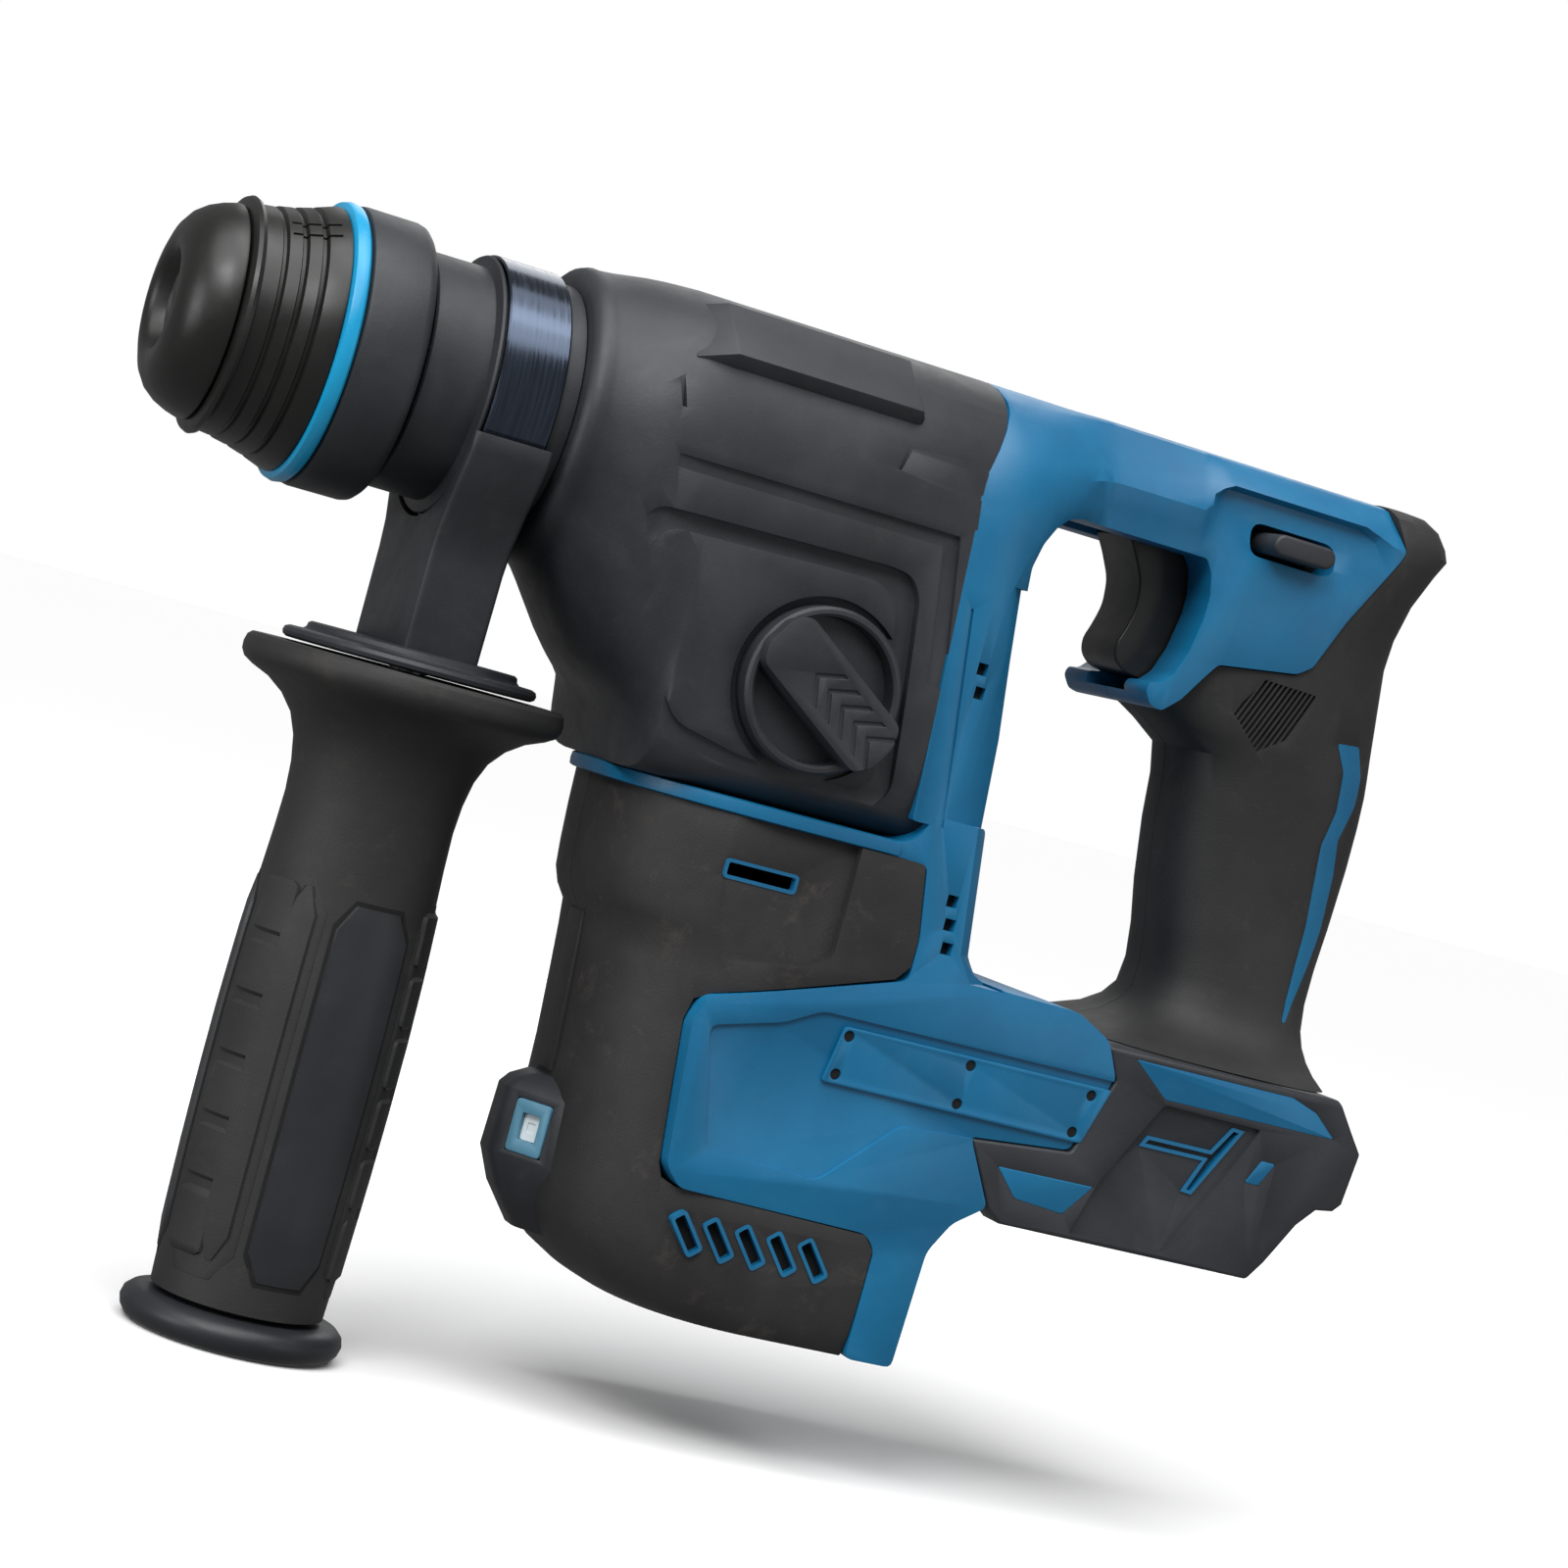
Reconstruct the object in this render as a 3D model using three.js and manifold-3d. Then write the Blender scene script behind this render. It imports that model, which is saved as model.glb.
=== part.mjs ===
// Bare cordless rotary hammer: an L-shaped body with a D handle, a sliding bit chuck and a side handle.
// Millimetres, +Z up. The drilling axis is X and the bit points to -X. The tool's left side faces -Y.
// The origin is where the bit's shank end meets the impact bolt, on the drilling axis.
import * as THREE from 'three';
import { mergeVertices } from 'three/addons/utils/BufferGeometryUtils.js';
import Module from 'manifold-3d';

const wasm = await Module();
wasm.setup();

// ---- driving dimensions ----
const GAP = 0.3;              // clearance between touching pieces
const BODY_HALF = 37;         // half width of gear and motor housing
const WALL = 4.5;             // moulded wall of the gear housing
const TOP_Z = 33.8;           // top of the housing
const GEAR_BOTTOM_Z = -67;    // underside of the gear housing
const RIM_H = 2.6;            // coloured rim between gear housing and motor cover
const MOTOR_BOTTOM_Z = -176;
const FOOT_BOTTOM_Z = -141;
const HANDLE_HALF = 23;       // half width of the upper handle bar
const GRIP_HALF = 17.5;       // half width of the rear grip
const MOTOR_X = 97;           // motor axis
const CRANK_X = 76;           // crank axis
const BEVEL_X = 50.4;         // bevel shaft axis
const GEAR_Z = -43;           // underside of the spur gears
const GEAR_H = 6;
const SIDE_X = 8.6;           // side handle axis
const BAND_R = 28;            // outer radius of the clamp band
const SLEEVE_R = 29.5;        // outer radius of the accent ring and collar
const KNOB_X = 83.5;
const KNOB_Z = -41;
const KNOB_R = 17.5;

const COLOUR = {
  black: 0x2c2d2f, rubber: 0x29292a, blue: 0x2a74a2, cyan: 0x1ba0cf, steel: 0xa8abad, gloss: 0x20242b,
  copper: 0xa8683a, board: 0x1f4a37, brass: 0xb6974e, lens: 0xe4ecef,
};

const group = new THREE.Group();

function add(name, geometry, colour, roughness = 0.6, metalness = 0) {
  const mesh = new THREE.Mesh(geometry, new THREE.MeshStandardMaterial({ color: colour, roughness, metalness }));
  mesh.name = name;
  group.add(mesh);
  return mesh;
}

// ---- solid helpers ----
function toSolid(geometry) {
  const bare = geometry.clone();
  bare.deleteAttribute('normal');
  bare.deleteAttribute('uv');
  const merged = mergeVertices(bare, 1e-4);
  return new wasm.Manifold(new wasm.Mesh({
    numProp: 3,
    vertProperties: new Float32Array(merged.attributes.position.array),
    triVerts: new Uint32Array(merged.index.array),
  }));
}

function toGeometry(solid) {
  const mesh = solid.getMesh();
  const geometry = new THREE.BufferGeometry();
  geometry.setAttribute('position', new THREE.BufferAttribute(mesh.vertProperties, 3));
  geometry.setIndex(new THREE.BufferAttribute(mesh.triVerts, 1));
  return geometry;
}

const join = (first, ...rest) => toGeometry(rest.reduce((sum, g) => sum.add(toSolid(g)), toSolid(first)));
const cut = (first, ...rest) => toGeometry(rest.reduce((sum, g) => sum.subtract(toSolid(g)), toSolid(first)));
const common = (first, ...rest) => toGeometry(rest.reduce((sum, g) => sum.intersect(toSolid(g)), toSolid(first)));

function box(x0, x1, y0, y1, z0, z1) {
  const geometry = new THREE.BoxGeometry(x1 - x0, y1 - y0, z1 - z0);
  return geometry.translate((x0 + x1) / 2, (y0 + y1) / 2, (z0 + z1) / 2);
}

function shapeOf(points) {
  return new THREE.Shape(points.map(([a, b]) => new THREE.Vector2(a, b)));
}

// side outline (x, z) pushed through from y0 to y1, with its two rims rounded by bevel
function sidePlate(points, y0, y1, bevel = 0) {
  const geometry = new THREE.ExtrudeGeometry(shapeOf(points), {
    depth: y1 - y0 - 2 * bevel, bevelEnabled: bevel > 0, bevelThickness: bevel, bevelSize: bevel,
    bevelOffset: -bevel, bevelSegments: 2, curveSegments: 12,
  });
  return geometry.rotateX(Math.PI / 2).translate(0, y1 - bevel, 0);
}

// plan outline (x, y) pushed up from z0 to z1
function planPrism(points, z0, z1) {
  const geometry = new THREE.ExtrudeGeometry(shapeOf(points), { depth: z1 - z0, bevelEnabled: false });
  return geometry.translate(0, 0, z0);
}

// front outline (y, z) pushed back from x0 to x1
function frontPrism(points, x0, x1) {
  const geometry = new THREE.ExtrudeGeometry(shapeOf(points), { depth: x1 - x0, bevelEnabled: false });
  return geometry.rotateX(Math.PI / 2).rotateZ(Math.PI / 2).translate(x0, 0, 0);
}

// closed ring or rod turned about the drilling axis; profile points are (x, radius)
function turnedX(profile, segments = 28) {
  const points = profile.map(([x, r]) => new THREE.Vector2(r, x));
  return new THREE.LatheGeometry(points, segments).rotateZ(-Math.PI / 2);
}

// closed ring or rod turned about a vertical axis at (x, 0); profile points are (radius, z), upwards outside
function turnedZ(x, profile, segments = 28) {
  const points = profile.map(([r, z]) => new THREE.Vector2(r, z));
  return new THREE.LatheGeometry(points, segments).rotateX(Math.PI / 2).translate(x, 0, 0);
}

function rodZ(x, radius, z0, z1, segments = 28) {
  return turnedZ(x, [[0, z0], [radius, z0], [radius, z1], [0, z1]], segments);
}

function ringZ(x, inner, outer, z0, z1, segments = 28) {
  return turnedZ(x, [[inner, z0], [outer, z0], [outer, z1], [inner, z1], [inner, z0]], segments);
}

function rodX(radius, x0, x1, segments = 28) {
  return turnedX([[x0, 0], [x0, radius], [x1, radius], [x1, 0]], segments);
}

function ringX(inner, outer, x0, x1, segments = 28) {
  return turnedX([[x0, inner], [x0, outer], [x1, outer], [x1, inner], [x0, inner]], segments);
}

function arc(cx, cy, radius, from, to, steps) {
  return Array.from({ length: steps + 1 }, (_, i) => {
    const angle = THREE.MathUtils.degToRad(from + (to - from) * i / steps);
    return [cx + radius * Math.cos(angle), cy + radius * Math.sin(angle)];
  });
}

// ---- sections shared by the housings ----
// front view of the body: straight sides under a round top that is centred on the drilling axis
const bodySection = (half, bottom) => [
  ...arc(0, 0, half, 0, 180, 24).map(([y, z]) => [y, z * TOP_Z / BODY_HALF]), [-half, bottom], [half, bottom],
];

// plan of the motor end: straight sides and a round front
function motorPlan(half) {
  const CENTRE = 95;
  const REACH = 46;
  const front = arc(0, 0, 1, 90, 270, 16).map(([c, s]) => [CENTRE + REACH * c, half * s]);
  return [...front, [145, -half], [145, half]];
}

// plan of the handle side: full width at the body, narrow along the upper bar
const handlePlan = [[100, -BODY_HALF], [124, -BODY_HALF], [150, -HANDLE_HALF], [228, -HANDLE_HALF],
  [228, HANDLE_HALF], [150, HANDLE_HALF], [124, BODY_HALF], [100, BODY_HALF]];

// both halves of a moulding that parts on the centre plane
function halves(name, geometry, colour, roughness) {
  const REACH = 400;
  const left = box(-REACH, REACH, -REACH, -GAP / 2, -REACH, REACH);
  const right = box(-REACH, REACH, GAP / 2, REACH, -REACH, REACH);
  add(`${name}_left`, common(geometry, left), colour, roughness);
  add(`${name}_right`, common(geometry, right), colour, roughness);
}

// ---- chuck ----
const SPINDLE_FRONT = -58.2;
const SPINDLE_BACK = 61;

function buildChuck() {
  const BIT_R = 5.2;
  const CYL_R = 12;
  add('spindle', turnedX([
    [SPINDLE_FRONT, BIT_R], [SPINDLE_FRONT, 8.6], [-14, 9.8], [16, 9.8], [22, 15], [SPINDLE_BACK, 15],
    [SPINDLE_BACK, CYL_R], [20, CYL_R], [13, 8.6], [4, 8.6], [-0.5, BIT_R], [SPINDLE_FRONT, BIT_R],
  ]), COLOUR.steel, 0.35, 1);
  add('impact_bolt', turnedX([[0, 0], [0, 4.8], [6, 4.8], [6, 8.2], [12.5, 8.2], [17, 6], [21, 6], [21, 0]]),
    COLOUR.steel, 0.3, 1);
  add('striker', turnedX([[24, 0], [24, 7], [26, 11.6], [34, 11.6], [34, 0]]), COLOUR.steel, 0.3, 1);
  add('ring_gear', ringX(15.2, 22, 36, 43), COLOUR.steel, 0.4, 1);
  add('dust_cap', turnedX([
    [-58.6, 5.5], [-61.4, 10.6], [-61.8, 11.6], [-61.6, 14.2], [-60.2, 17.6], [-57.6, 20.4], [-54.4, 22.2],
    [-51, 23.2], [-51, 9.2], [-58.4, 9.0], [-58.6, 5.5],
  ]), COLOUR.rubber, 0.55);
  add('chuck_cover', turnedX([
    [-50.6, 10.4], [-50.6, 23.4], [-49.6, 24.6], [-48.4, 24.6], [-47.4, 23.6], [-42.6, 24.6], [-41.8, 25.6],
    [-37, 26.2], [-36.2, 27.2], [-31.4, 27.8], [-31.4, 10.4], [-50.6, 10.4],
  ]), COLOUR.rubber, 0.55);
  add('accent_ring', ringX(21, SLEEVE_R, -31.1, -28.5), COLOUR.cyan, 0.35);
  add('sleeve_collar', turnedX([
    [-28.2, 21], [-28.2, 28.8], [-27.2, SLEEVE_R], [-14.4, SLEEVE_R], [-13.2, 28.6], [-13.2, 25.8],
    [-22, 25.8], [-22, 21], [-28.2, 21],
  ]), COLOUR.black, 0.55);
  add('barrel_tube', turnedX([
    [-12, 19], [-12, 25], [1, 25], [1.6, 26.6], [20.1, 26.6], [20.1, 19], [-12, 19],
  ]), COLOUR.black, 0.55);
  add('front_bearing', ringX(10.3, 18.7, -8, 4), COLOUR.steel, 0.3, 1);
}

// ---- hammer drive ----
function buildDrive() {
  add('piston', turnedX([
    [44, 0], [44, 11.6], [56, 11.6], [56, 8.4], [47, 8.4], [47, 0],
  ]), COLOUR.steel, 0.35, 1);
  const ROD_FROM = 51.5;
  const rod = [...arc(ROD_FROM, 0, 4, 90, 270, 8), ...arc(CRANK_X, 0, 6, -140, 140, 14)];
  add('connecting_rod', planPrism(rod, -4, 2), COLOUR.steel, 0.35, 1);
  const crankAxle = turnedZ(CRANK_X, [[0, -62], [5, -62], [5, GEAR_Z], [17, GEAR_Z], [17, GEAR_Z + GEAR_H],
    [6, GEAR_Z + GEAR_H], [6, -14], [12, -14], [12, -9], [0, -9]]);
  const PIN_ARM = 7;
  const pin = rodZ(CRANK_X + PIN_ARM, 3, -10, -4.6, 16);
  add('crank_shaft', join(crankAxle, pin), COLOUR.steel, 0.35, 1);
  add('bevel_shaft', turnedZ(BEVEL_X, [[0, GEAR_Z - 2], [4, GEAR_Z - 2], [4, GEAR_Z], [8, GEAR_Z], [8, GEAR_Z + GEAR_H],
    [4, GEAR_Z + GEAR_H], [4, -34], [6.6, -33], [5, -25.5], [0, -25.5]]), COLOUR.steel, 0.35, 1);
  add('motor_rotor', turnedZ(MOTOR_X, [[0, -165], [4, -165], [4, -147], [15, -145], [15, -97], [4, -95],
    [3.6, -60], [3.6, -37], [0, -37]]), COLOUR.steel, 0.4, 1);
  add('motor_fan', ringZ(MOTOR_X, 4.3, 27, -90, -82), COLOUR.black, 0.6);
  add('motor_stator', ringZ(MOTOR_X, 15.8, 28, -146, -97), COLOUR.copper, 0.5, 0.6);
  add('upper_bearing', ringZ(MOTOR_X, 4.3, 11, -78, -71), COLOUR.steel, 0.3, 1);
  add('lower_bearing', ringZ(MOTOR_X, 4.3, 11, -161, -154), COLOUR.steel, 0.3, 1);
}

// ---- housings ----
function buildGearHousing() {
  const outline = [[34, 33], [54, TOP_Z], [115, TOP_Z], [115, 28], [107.5, 10], [118, GEAR_BOTTOM_Z],
    [48, GEAR_BOTTOM_Z], [46, -53], [34, -46]];
  const block = common(sidePlate(outline, -BODY_HALF, BODY_HALF, 3),
    frontPrism(bodySection(BODY_HALF, -70), 20, 120));
  const SWING_R = 55;
  const nose = common(sidePlate([[22, 0], [22, -43], [49, -55], [49, 0]], -30, 30, 5), rodX(SWING_R, 10, 60));
  const shoulder = turnedX([
    [20.4, 0], [20.4, 29.5], [22.5, 31.4], [25, 31.8], [30, 31.9], [36, 32.6], [50, 33], [50, 0],
  ]);
  const inner = BODY_HALF - WALL;
  const cavity = frontPrism(bodySection(inner, -80), 32, 125);
  const bore = rodX(23, 22.9, 40);
  const throat = rodX(16, 10, 40);
  const hollow = sidePlate([
    [32, 31], [125, 31], [125, -80], [52.5, -80], [50.5, -49], [38, -42], [32, -42],
  ], -40, 40, 1);
  const swingRoom = ringX(SWING_R + 0.5, 95, 20, 44.5);
  const shell = cut(join(block, nose, shoulder), common(cavity, hollow), bore, throat, swingRoom);
  add('gear_housing', shell, COLOUR.black, 0.6);
  const rimTop = GEAR_BOTTOM_Z - GAP;
  const rim = cut(planPrism(motorPlan(BODY_HALF), rimTop - RIM_H, rimTop), box(118, 150, -50, 50, -80, -60),
    rodZ(MOTOR_X, 8, -80, -60), rodZ(CRANK_X, 0.5, -61, -60));
  add('housing_rim', rim, COLOUR.blue, 0.5);
}

const MOTOR_TOP_Z = GEAR_BOTTOM_Z - RIM_H - 2 * GAP;

// room for the motor, its fan and bearings
function motorBay() {
  return turnedZ(MOTOR_X, [[0, -166], [12, -166], [12, -152], [29, -152], [29, -80], [12, -80],
    [12, MOTOR_TOP_Z + 5], [0, MOTOR_TOP_Z + 5]]);
}

// room for the trigger's travel and the switch behind it
const triggerBay = () => box(150, 215, -9.4, 9.4, -22, 13.6);

function buildHandleShells() {
  const outline = [[115 + GAP, TOP_Z], [222, TOP_Z], [216.4, 26], [201, -8], [192, -11], [180, -12], [175, -18],
    [171, -24], [170, -18], [176, 4], [172, 12], [131, 12], [126, 9], [123.5, 3], [134.8, -84], [138, -90],
    [144, -92], [162, -92.4], [171, -97], [175, -105], [169, -122], [145, -124], [153, -138], [146, -143],
    [141, -150], [141, MOTOR_BOTTOM_Z], [130, MOTOR_BOTTOM_Z], [130, -152], [127, -149], [83, -148], [79, -144],
    [76, -114], [78, -108], [121, -95], [121, -86], [118 + GAP, -66.5], [107.5 + GAP, 10], [115 + GAP, 28]];
  const body = sidePlate(outline, -BODY_HALF, BODY_HALF, 2);
  const upper = common(body, frontPrism(bodySection(BODY_HALF, -80), 100, 240), planPrism(handlePlan, -62, 50));
  const lower = common(body, box(60, 190, -60, 60, -200, -62));
  const leverSlot = box(180.5, 202.5, -40, 40, 13.8, 20.2);
  const boardBay = box(148, 172.6, -29, 29, -121, -99);
  halves('handle_shell', cut(join(upper, lower), triggerBay(), leverSlot, motorBay(), boardBay), COLOUR.blue, 0.5);
}

function buildMotorCovers() {
  const top = MOTOR_TOP_Z;
  const outline = [[49, top], [117.8, top], [120.7, -86], [120.7, -94.8], [77.7, -107.8], [75.7, -114],
    [78.7, -144.2], [82.8, -148.3], [127, -149.3], [129.7, -152.2], [129.7, MOTOR_BOTTOM_Z],
    [82, MOTOR_BOTTOM_Z], [64, -168], [58, -160], [58, -120], [55.5, -98], [50, -76]];
  const body = common(sidePlate(outline, -BODY_HALF, BODY_HALF, 2), planPrism(motorPlan(BODY_HALF), -180, -60));
  const podSeat = box(40, 72 + GAP, -24 - GAP, 24 + GAP, -168 - GAP, -135 + GAP);
  const vents = [88, 95.2, 102.4, 109.6, 116.8].map((x) => box(x - 1.2, x + 1.2, -50, 50, -160.5, -152.5));
  halves('motor_cover', cut(body, motorBay(), podSeat, ...vents, box(75, 91, -50, -30, -83, -79)),
    COLOUR.black, 0.6);
}

function buildLedPod() {
  const plan = [[54, -4], [64, -15], [72, -24], [72, 24], [64, 15], [54, 4]];
  const side = [[54, -139], [58, -135], [72, -137], [72, -168], [62, -165], [54, -152]];
  const pod = common(planPrism(plan, -168, -135), sidePlate(side, -24, 24));
  const shaft = rodZ(MOTOR_X, 30, -170, -130);
  const lensWindow = (s) => box(-4.5, 4.5, -6, 3.5, -5.5, 5.5).rotateZ(s * THREE.MathUtils.degToRad(-48))
    .translate(58.6, s * -9.1, -146);
  add('led_pod', cut(pod, shaft, lensWindow(1), lensWindow(-1)), COLOUR.black, 0.55);
  for (const [side2, s] of [['left', 1], ['right', -1]]) {
    const lens = box(-4.1, 4.1, -0.8, 3.1, -5.1, 5.1).rotateZ(s * THREE.MathUtils.degToRad(-48));
    add(`led_lens_${side2}`, lens.translate(58.6, s * -9.1, -146), COLOUR.lens, 0.1);
  }
}

function buildGripAndFoot() {
  const grip = [[222 + GAP, TOP_Z - 0.2], [230, 33], [238, 25], [231.4, 6], [232.6, -14], [234.8, -42], [234, -62],
    [233.2, -80], [234.6, -89], [239.4, -96.6], [174, -96.6], [178, -94.2], [188.5, -91.5], [192.8, -84],
    [189.6, -63], [186.2, -40], [185, -29],
    [171.4, -24.5], [175.3, -18.4], [180.2, -12.3], [192, -11.3], [201.2, -8.3], [216.7, 26]];
  const wires = box(196, 222, -8, 8, -100, -16);
  const gripBody = sidePlate(grip, -GRIP_HALF, GRIP_HALF, 1.5);
  halves('grip_cover', cut(gripBody, wires, triggerBay(), box(188, 213, -9.7, 9.7, -16.2, 14)), COLOUR.rubber, 0.75);

  const foot = [[174, -97], [231, -97], [236, -104], [239.6, -108.5], [238, -120.5], [232, -123],
    [228.6, -127], [223, -137], [219, FOOT_BOTTOM_Z], [158, FOOT_BOTTOM_Z], [153.4, -138], [145.4, -124.3],
    [169.2, -122.3], [175.3, -105], [172, -98.4]];
  const footBody = sidePlate(foot, -BODY_HALF, BODY_HALF, 1.5);
  const slot = box(140, 260, -28, 28, -145, -127);
  halves('foot_cover', cut(footBody, slot, box(182, 226, -20, 20, -121, -103)), COLOUR.black, 0.65);
}

function buildBatterySeat() {
  for (const [side, s] of [['left', -1], ['right', 1]]) {
    const inner = s < 0 ? -28 + GAP : 23;
    const outer = s < 0 ? -23 : 28 - GAP;
    add(`battery_rail_${side}`, box(160, 216, inner, outer, FOOT_BOTTOM_Z + 1, FOOT_BOTTOM_Z + 4.5),
      COLOUR.steel, 0.4, 1);
    const at = s * 9;
    add(`terminal_${side}`, box(166, 184, at - 0.8, at + 0.8, -137.4, -132), COLOUR.brass, 0.3, 1);
  }
  const guides = [-9, 9].map((at) => box(160, 186, at - 1.1, at + 1.1, -140, -131.7));
  add('terminal_block', cut(box(157, 188, -17, 17, -137, -127.3), ...guides), COLOUR.black, 0.6);
}

// ---- controls ----
function buildControls() {
  const face = -BODY_HALF - GAP;
  const disc = new THREE.CylinderGeometry(KNOB_R, KNOB_R - 1.2, 3.4, 32);
  const bar = box(-6.8, 6.8, -8, -3, -KNOB_R + 0.6, KNOB_R - 0.6).rotateY(THREE.MathUtils.degToRad(-56));
  const knob = join(disc.translate(0, -1.7, 0), bar);
  add('mode_knob', knob.translate(KNOB_X, face, KNOB_Z), COLOUR.black, 0.5);
  const trigger = [[156.5, 11.5], [160, 7], [163, 1.5], [164, -4.5], [161.6, -12.5], [162.2, -16.4],
    [165, -18.6], [174, -19.4], [178, -14], [182, -12], [182, 11.5]];
  add('trigger', sidePlate(trigger, -8.8, 8.8, 2), COLOUR.black, 0.5);
  add('switch_box', box(190, 212, -9, 9, -10.5, 11.5), COLOUR.black, 0.6);
  const lever = [...arc(185.8, 17, 2.4, 90, 270, 8), ...arc(197.2, 17, 2.4, -90, 90, 8)];
  add('reverse_lever', sidePlate(lever, -26.5, 26.5, 0.6), COLOUR.black, 0.5);
  add('control_board', box(149, 172, -27, 27, -111, -109), COLOUR.board, 0.5);
  add('name_plate', sidePlate([[108.5, -119.5], [169, -119.5], [172.5, -107.5], [110.5, -107.5]],
    -BODY_HALF - GAP - 0.9, -BODY_HALF - GAP), COLOUR.blue, 0.4);
}

// ---- side handle ----
function buildSideHandle() {
  add('clamp_band', ringX(26.9, BAND_R, 2.4, 16.4), COLOUR.gloss, 0.2, 1);
  const BLOCK_X0 = 0.8;
  const BLOCK_X1 = 17.4;
  const section = [[-27.5, -9.4], [27.5, -9.4], [27.5, -12], [18.8, -30], [18.8, -56], [-18.8, -56],
    [-18.8, -30], [-27.5, -12]];
  add('clamp_base', cut(frontPrism(section, BLOCK_X0, BLOCK_X1), rodX(BAND_R + GAP, -10, 30, 36),
    rodZ(SIDE_X, 4.3, -70, -36, 16)), COLOUR.black, 0.6);
  add('side_plate', cut(rodZ(SIDE_X, 27, -59.4, -56.3, 32), rodZ(SIDE_X, 4.3, -70, -40, 16)), COLOUR.black, 0.6);
  add('side_grip', turnedZ(SIDE_X, [
    [4.3, -59.7], [33.4, -59.7], [34, -61], [34, -64.6], [32, -66], [26, -69], [21.4, -73.5], [18.8, -80],
    [18.2, -88], [19.0, -108], [19.7, -135], [19.6, -165], [18.9, -185], [18.6, -195.2], [16, -196.2], [4.3, -196.2],
    [4.3, -59.7],
  ].reverse(), 30), COLOUR.rubber, 0.7);
  add('side_grip_cap', turnedZ(SIDE_X, [[0, -203.4], [21.6, -203.4], [23.2, -201.6], [23.2, -198.6], [21.6, -196.5],
    [0, -196.5]], 30), COLOUR.rubber, 0.7);
  add('side_bolt', rodZ(SIDE_X, 4, -150, -37, 16), COLOUR.steel, 0.3, 1);
}

// ---- housing screws, heads let into the right-hand side ----
function buildScrews() {
  const places = [[118, -12], [205, 20], [127, -58], [134, -140], [88, -130], [165, -114]];
  places.forEach(([x, z], i) => {
    const half = z > 0 && x > 150 ? HANDLE_HALF : BODY_HALF;
    const head = new THREE.CylinderGeometry(2.6, 2.6, 1.4, 14);
    add(`screw_${i + 1}`, head.translate(x, half + GAP + 0.7, z), COLOUR.steel, 0.35, 1);
  });
}

buildChuck();
buildDrive();
buildGearHousing();
buildHandleShells();
buildMotorCovers();
buildLedPod();
buildGripAndFoot();
buildBatterySeat();
buildControls();
buildSideHandle();
buildScrews();

export default group;
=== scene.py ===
"""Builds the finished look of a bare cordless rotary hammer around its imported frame.

Each visible moulding is modelled at its real size in the frame's own axes: the drilling axis is X with
the bit pointing to -X, the tool's left side faces -Y, and +Z is up. Lengths are written in millimetres.
"""
import math

import bmesh
import bpy
from mathutils import Matrix, Vector


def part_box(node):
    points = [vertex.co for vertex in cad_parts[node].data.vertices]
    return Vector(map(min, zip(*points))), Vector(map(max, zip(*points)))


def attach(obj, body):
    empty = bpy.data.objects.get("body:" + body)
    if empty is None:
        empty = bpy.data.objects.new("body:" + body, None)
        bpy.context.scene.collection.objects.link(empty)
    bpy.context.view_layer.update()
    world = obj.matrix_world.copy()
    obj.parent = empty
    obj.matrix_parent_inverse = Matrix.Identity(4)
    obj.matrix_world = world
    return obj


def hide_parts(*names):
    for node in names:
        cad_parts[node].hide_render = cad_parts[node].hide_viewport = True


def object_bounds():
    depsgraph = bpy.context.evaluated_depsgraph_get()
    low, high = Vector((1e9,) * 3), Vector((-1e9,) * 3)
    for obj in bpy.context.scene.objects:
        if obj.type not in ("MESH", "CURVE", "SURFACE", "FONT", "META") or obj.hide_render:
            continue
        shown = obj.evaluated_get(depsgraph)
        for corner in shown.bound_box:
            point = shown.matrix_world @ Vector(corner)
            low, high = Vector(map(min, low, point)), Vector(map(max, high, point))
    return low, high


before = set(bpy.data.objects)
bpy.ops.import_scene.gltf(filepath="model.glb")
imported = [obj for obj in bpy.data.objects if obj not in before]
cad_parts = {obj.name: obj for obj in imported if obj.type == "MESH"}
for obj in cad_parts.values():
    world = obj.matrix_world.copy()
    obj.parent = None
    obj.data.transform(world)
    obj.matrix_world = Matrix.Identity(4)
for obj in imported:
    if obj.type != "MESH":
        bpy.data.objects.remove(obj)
CAD_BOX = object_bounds()

bl_info = {
    "name": "Rotary hammer",
    "version": (1, 0, 0),
    "blender": (4, 5, 0),
    "location": "View3D > Sidebar > Rotary hammer",
    "description": "Models a bare cordless rotary hammer around its packed frame",
    "category": "Object",
}

MM = 0.001
BODY_HALF = 37.0         # half width of the gear and motor housing
SIDE_X = 8.6             # side handle axis
TOP_Z = 33.7             # top of the housing and handle
KNOB_X, KNOB_Z = 83.5, -41.0
UP = Vector((0, 0, 1))
X_AXIS, Y_AXIS, Z_AXIS = (1, 0, 0), (0, 1, 0), (0, 0, 1)


# ---------------------------------------------------------------- modelling tools
def clear_selection():
    if bpy.context.object and bpy.context.object.mode != "OBJECT":
        bpy.ops.object.mode_set(mode="OBJECT")
    bpy.ops.object.select_all(action="DESELECT")


def pick(piece):
    clear_selection()
    piece.select_set(True)
    bpy.context.view_layer.objects.active = piece


def start_ring(name, ring, fill):
    """A circle primitive with one corner for each point, pulled to the points' places."""
    clear_selection()
    bpy.ops.mesh.primitive_circle_add(vertices=len(ring), radius=1.0, fill_type=fill)
    piece = bpy.context.object
    piece.name = piece.data.name = name
    for vertex, point in zip(piece.data.vertices, ring):
        vertex.co = Vector(point) * MM
    return piece


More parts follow.
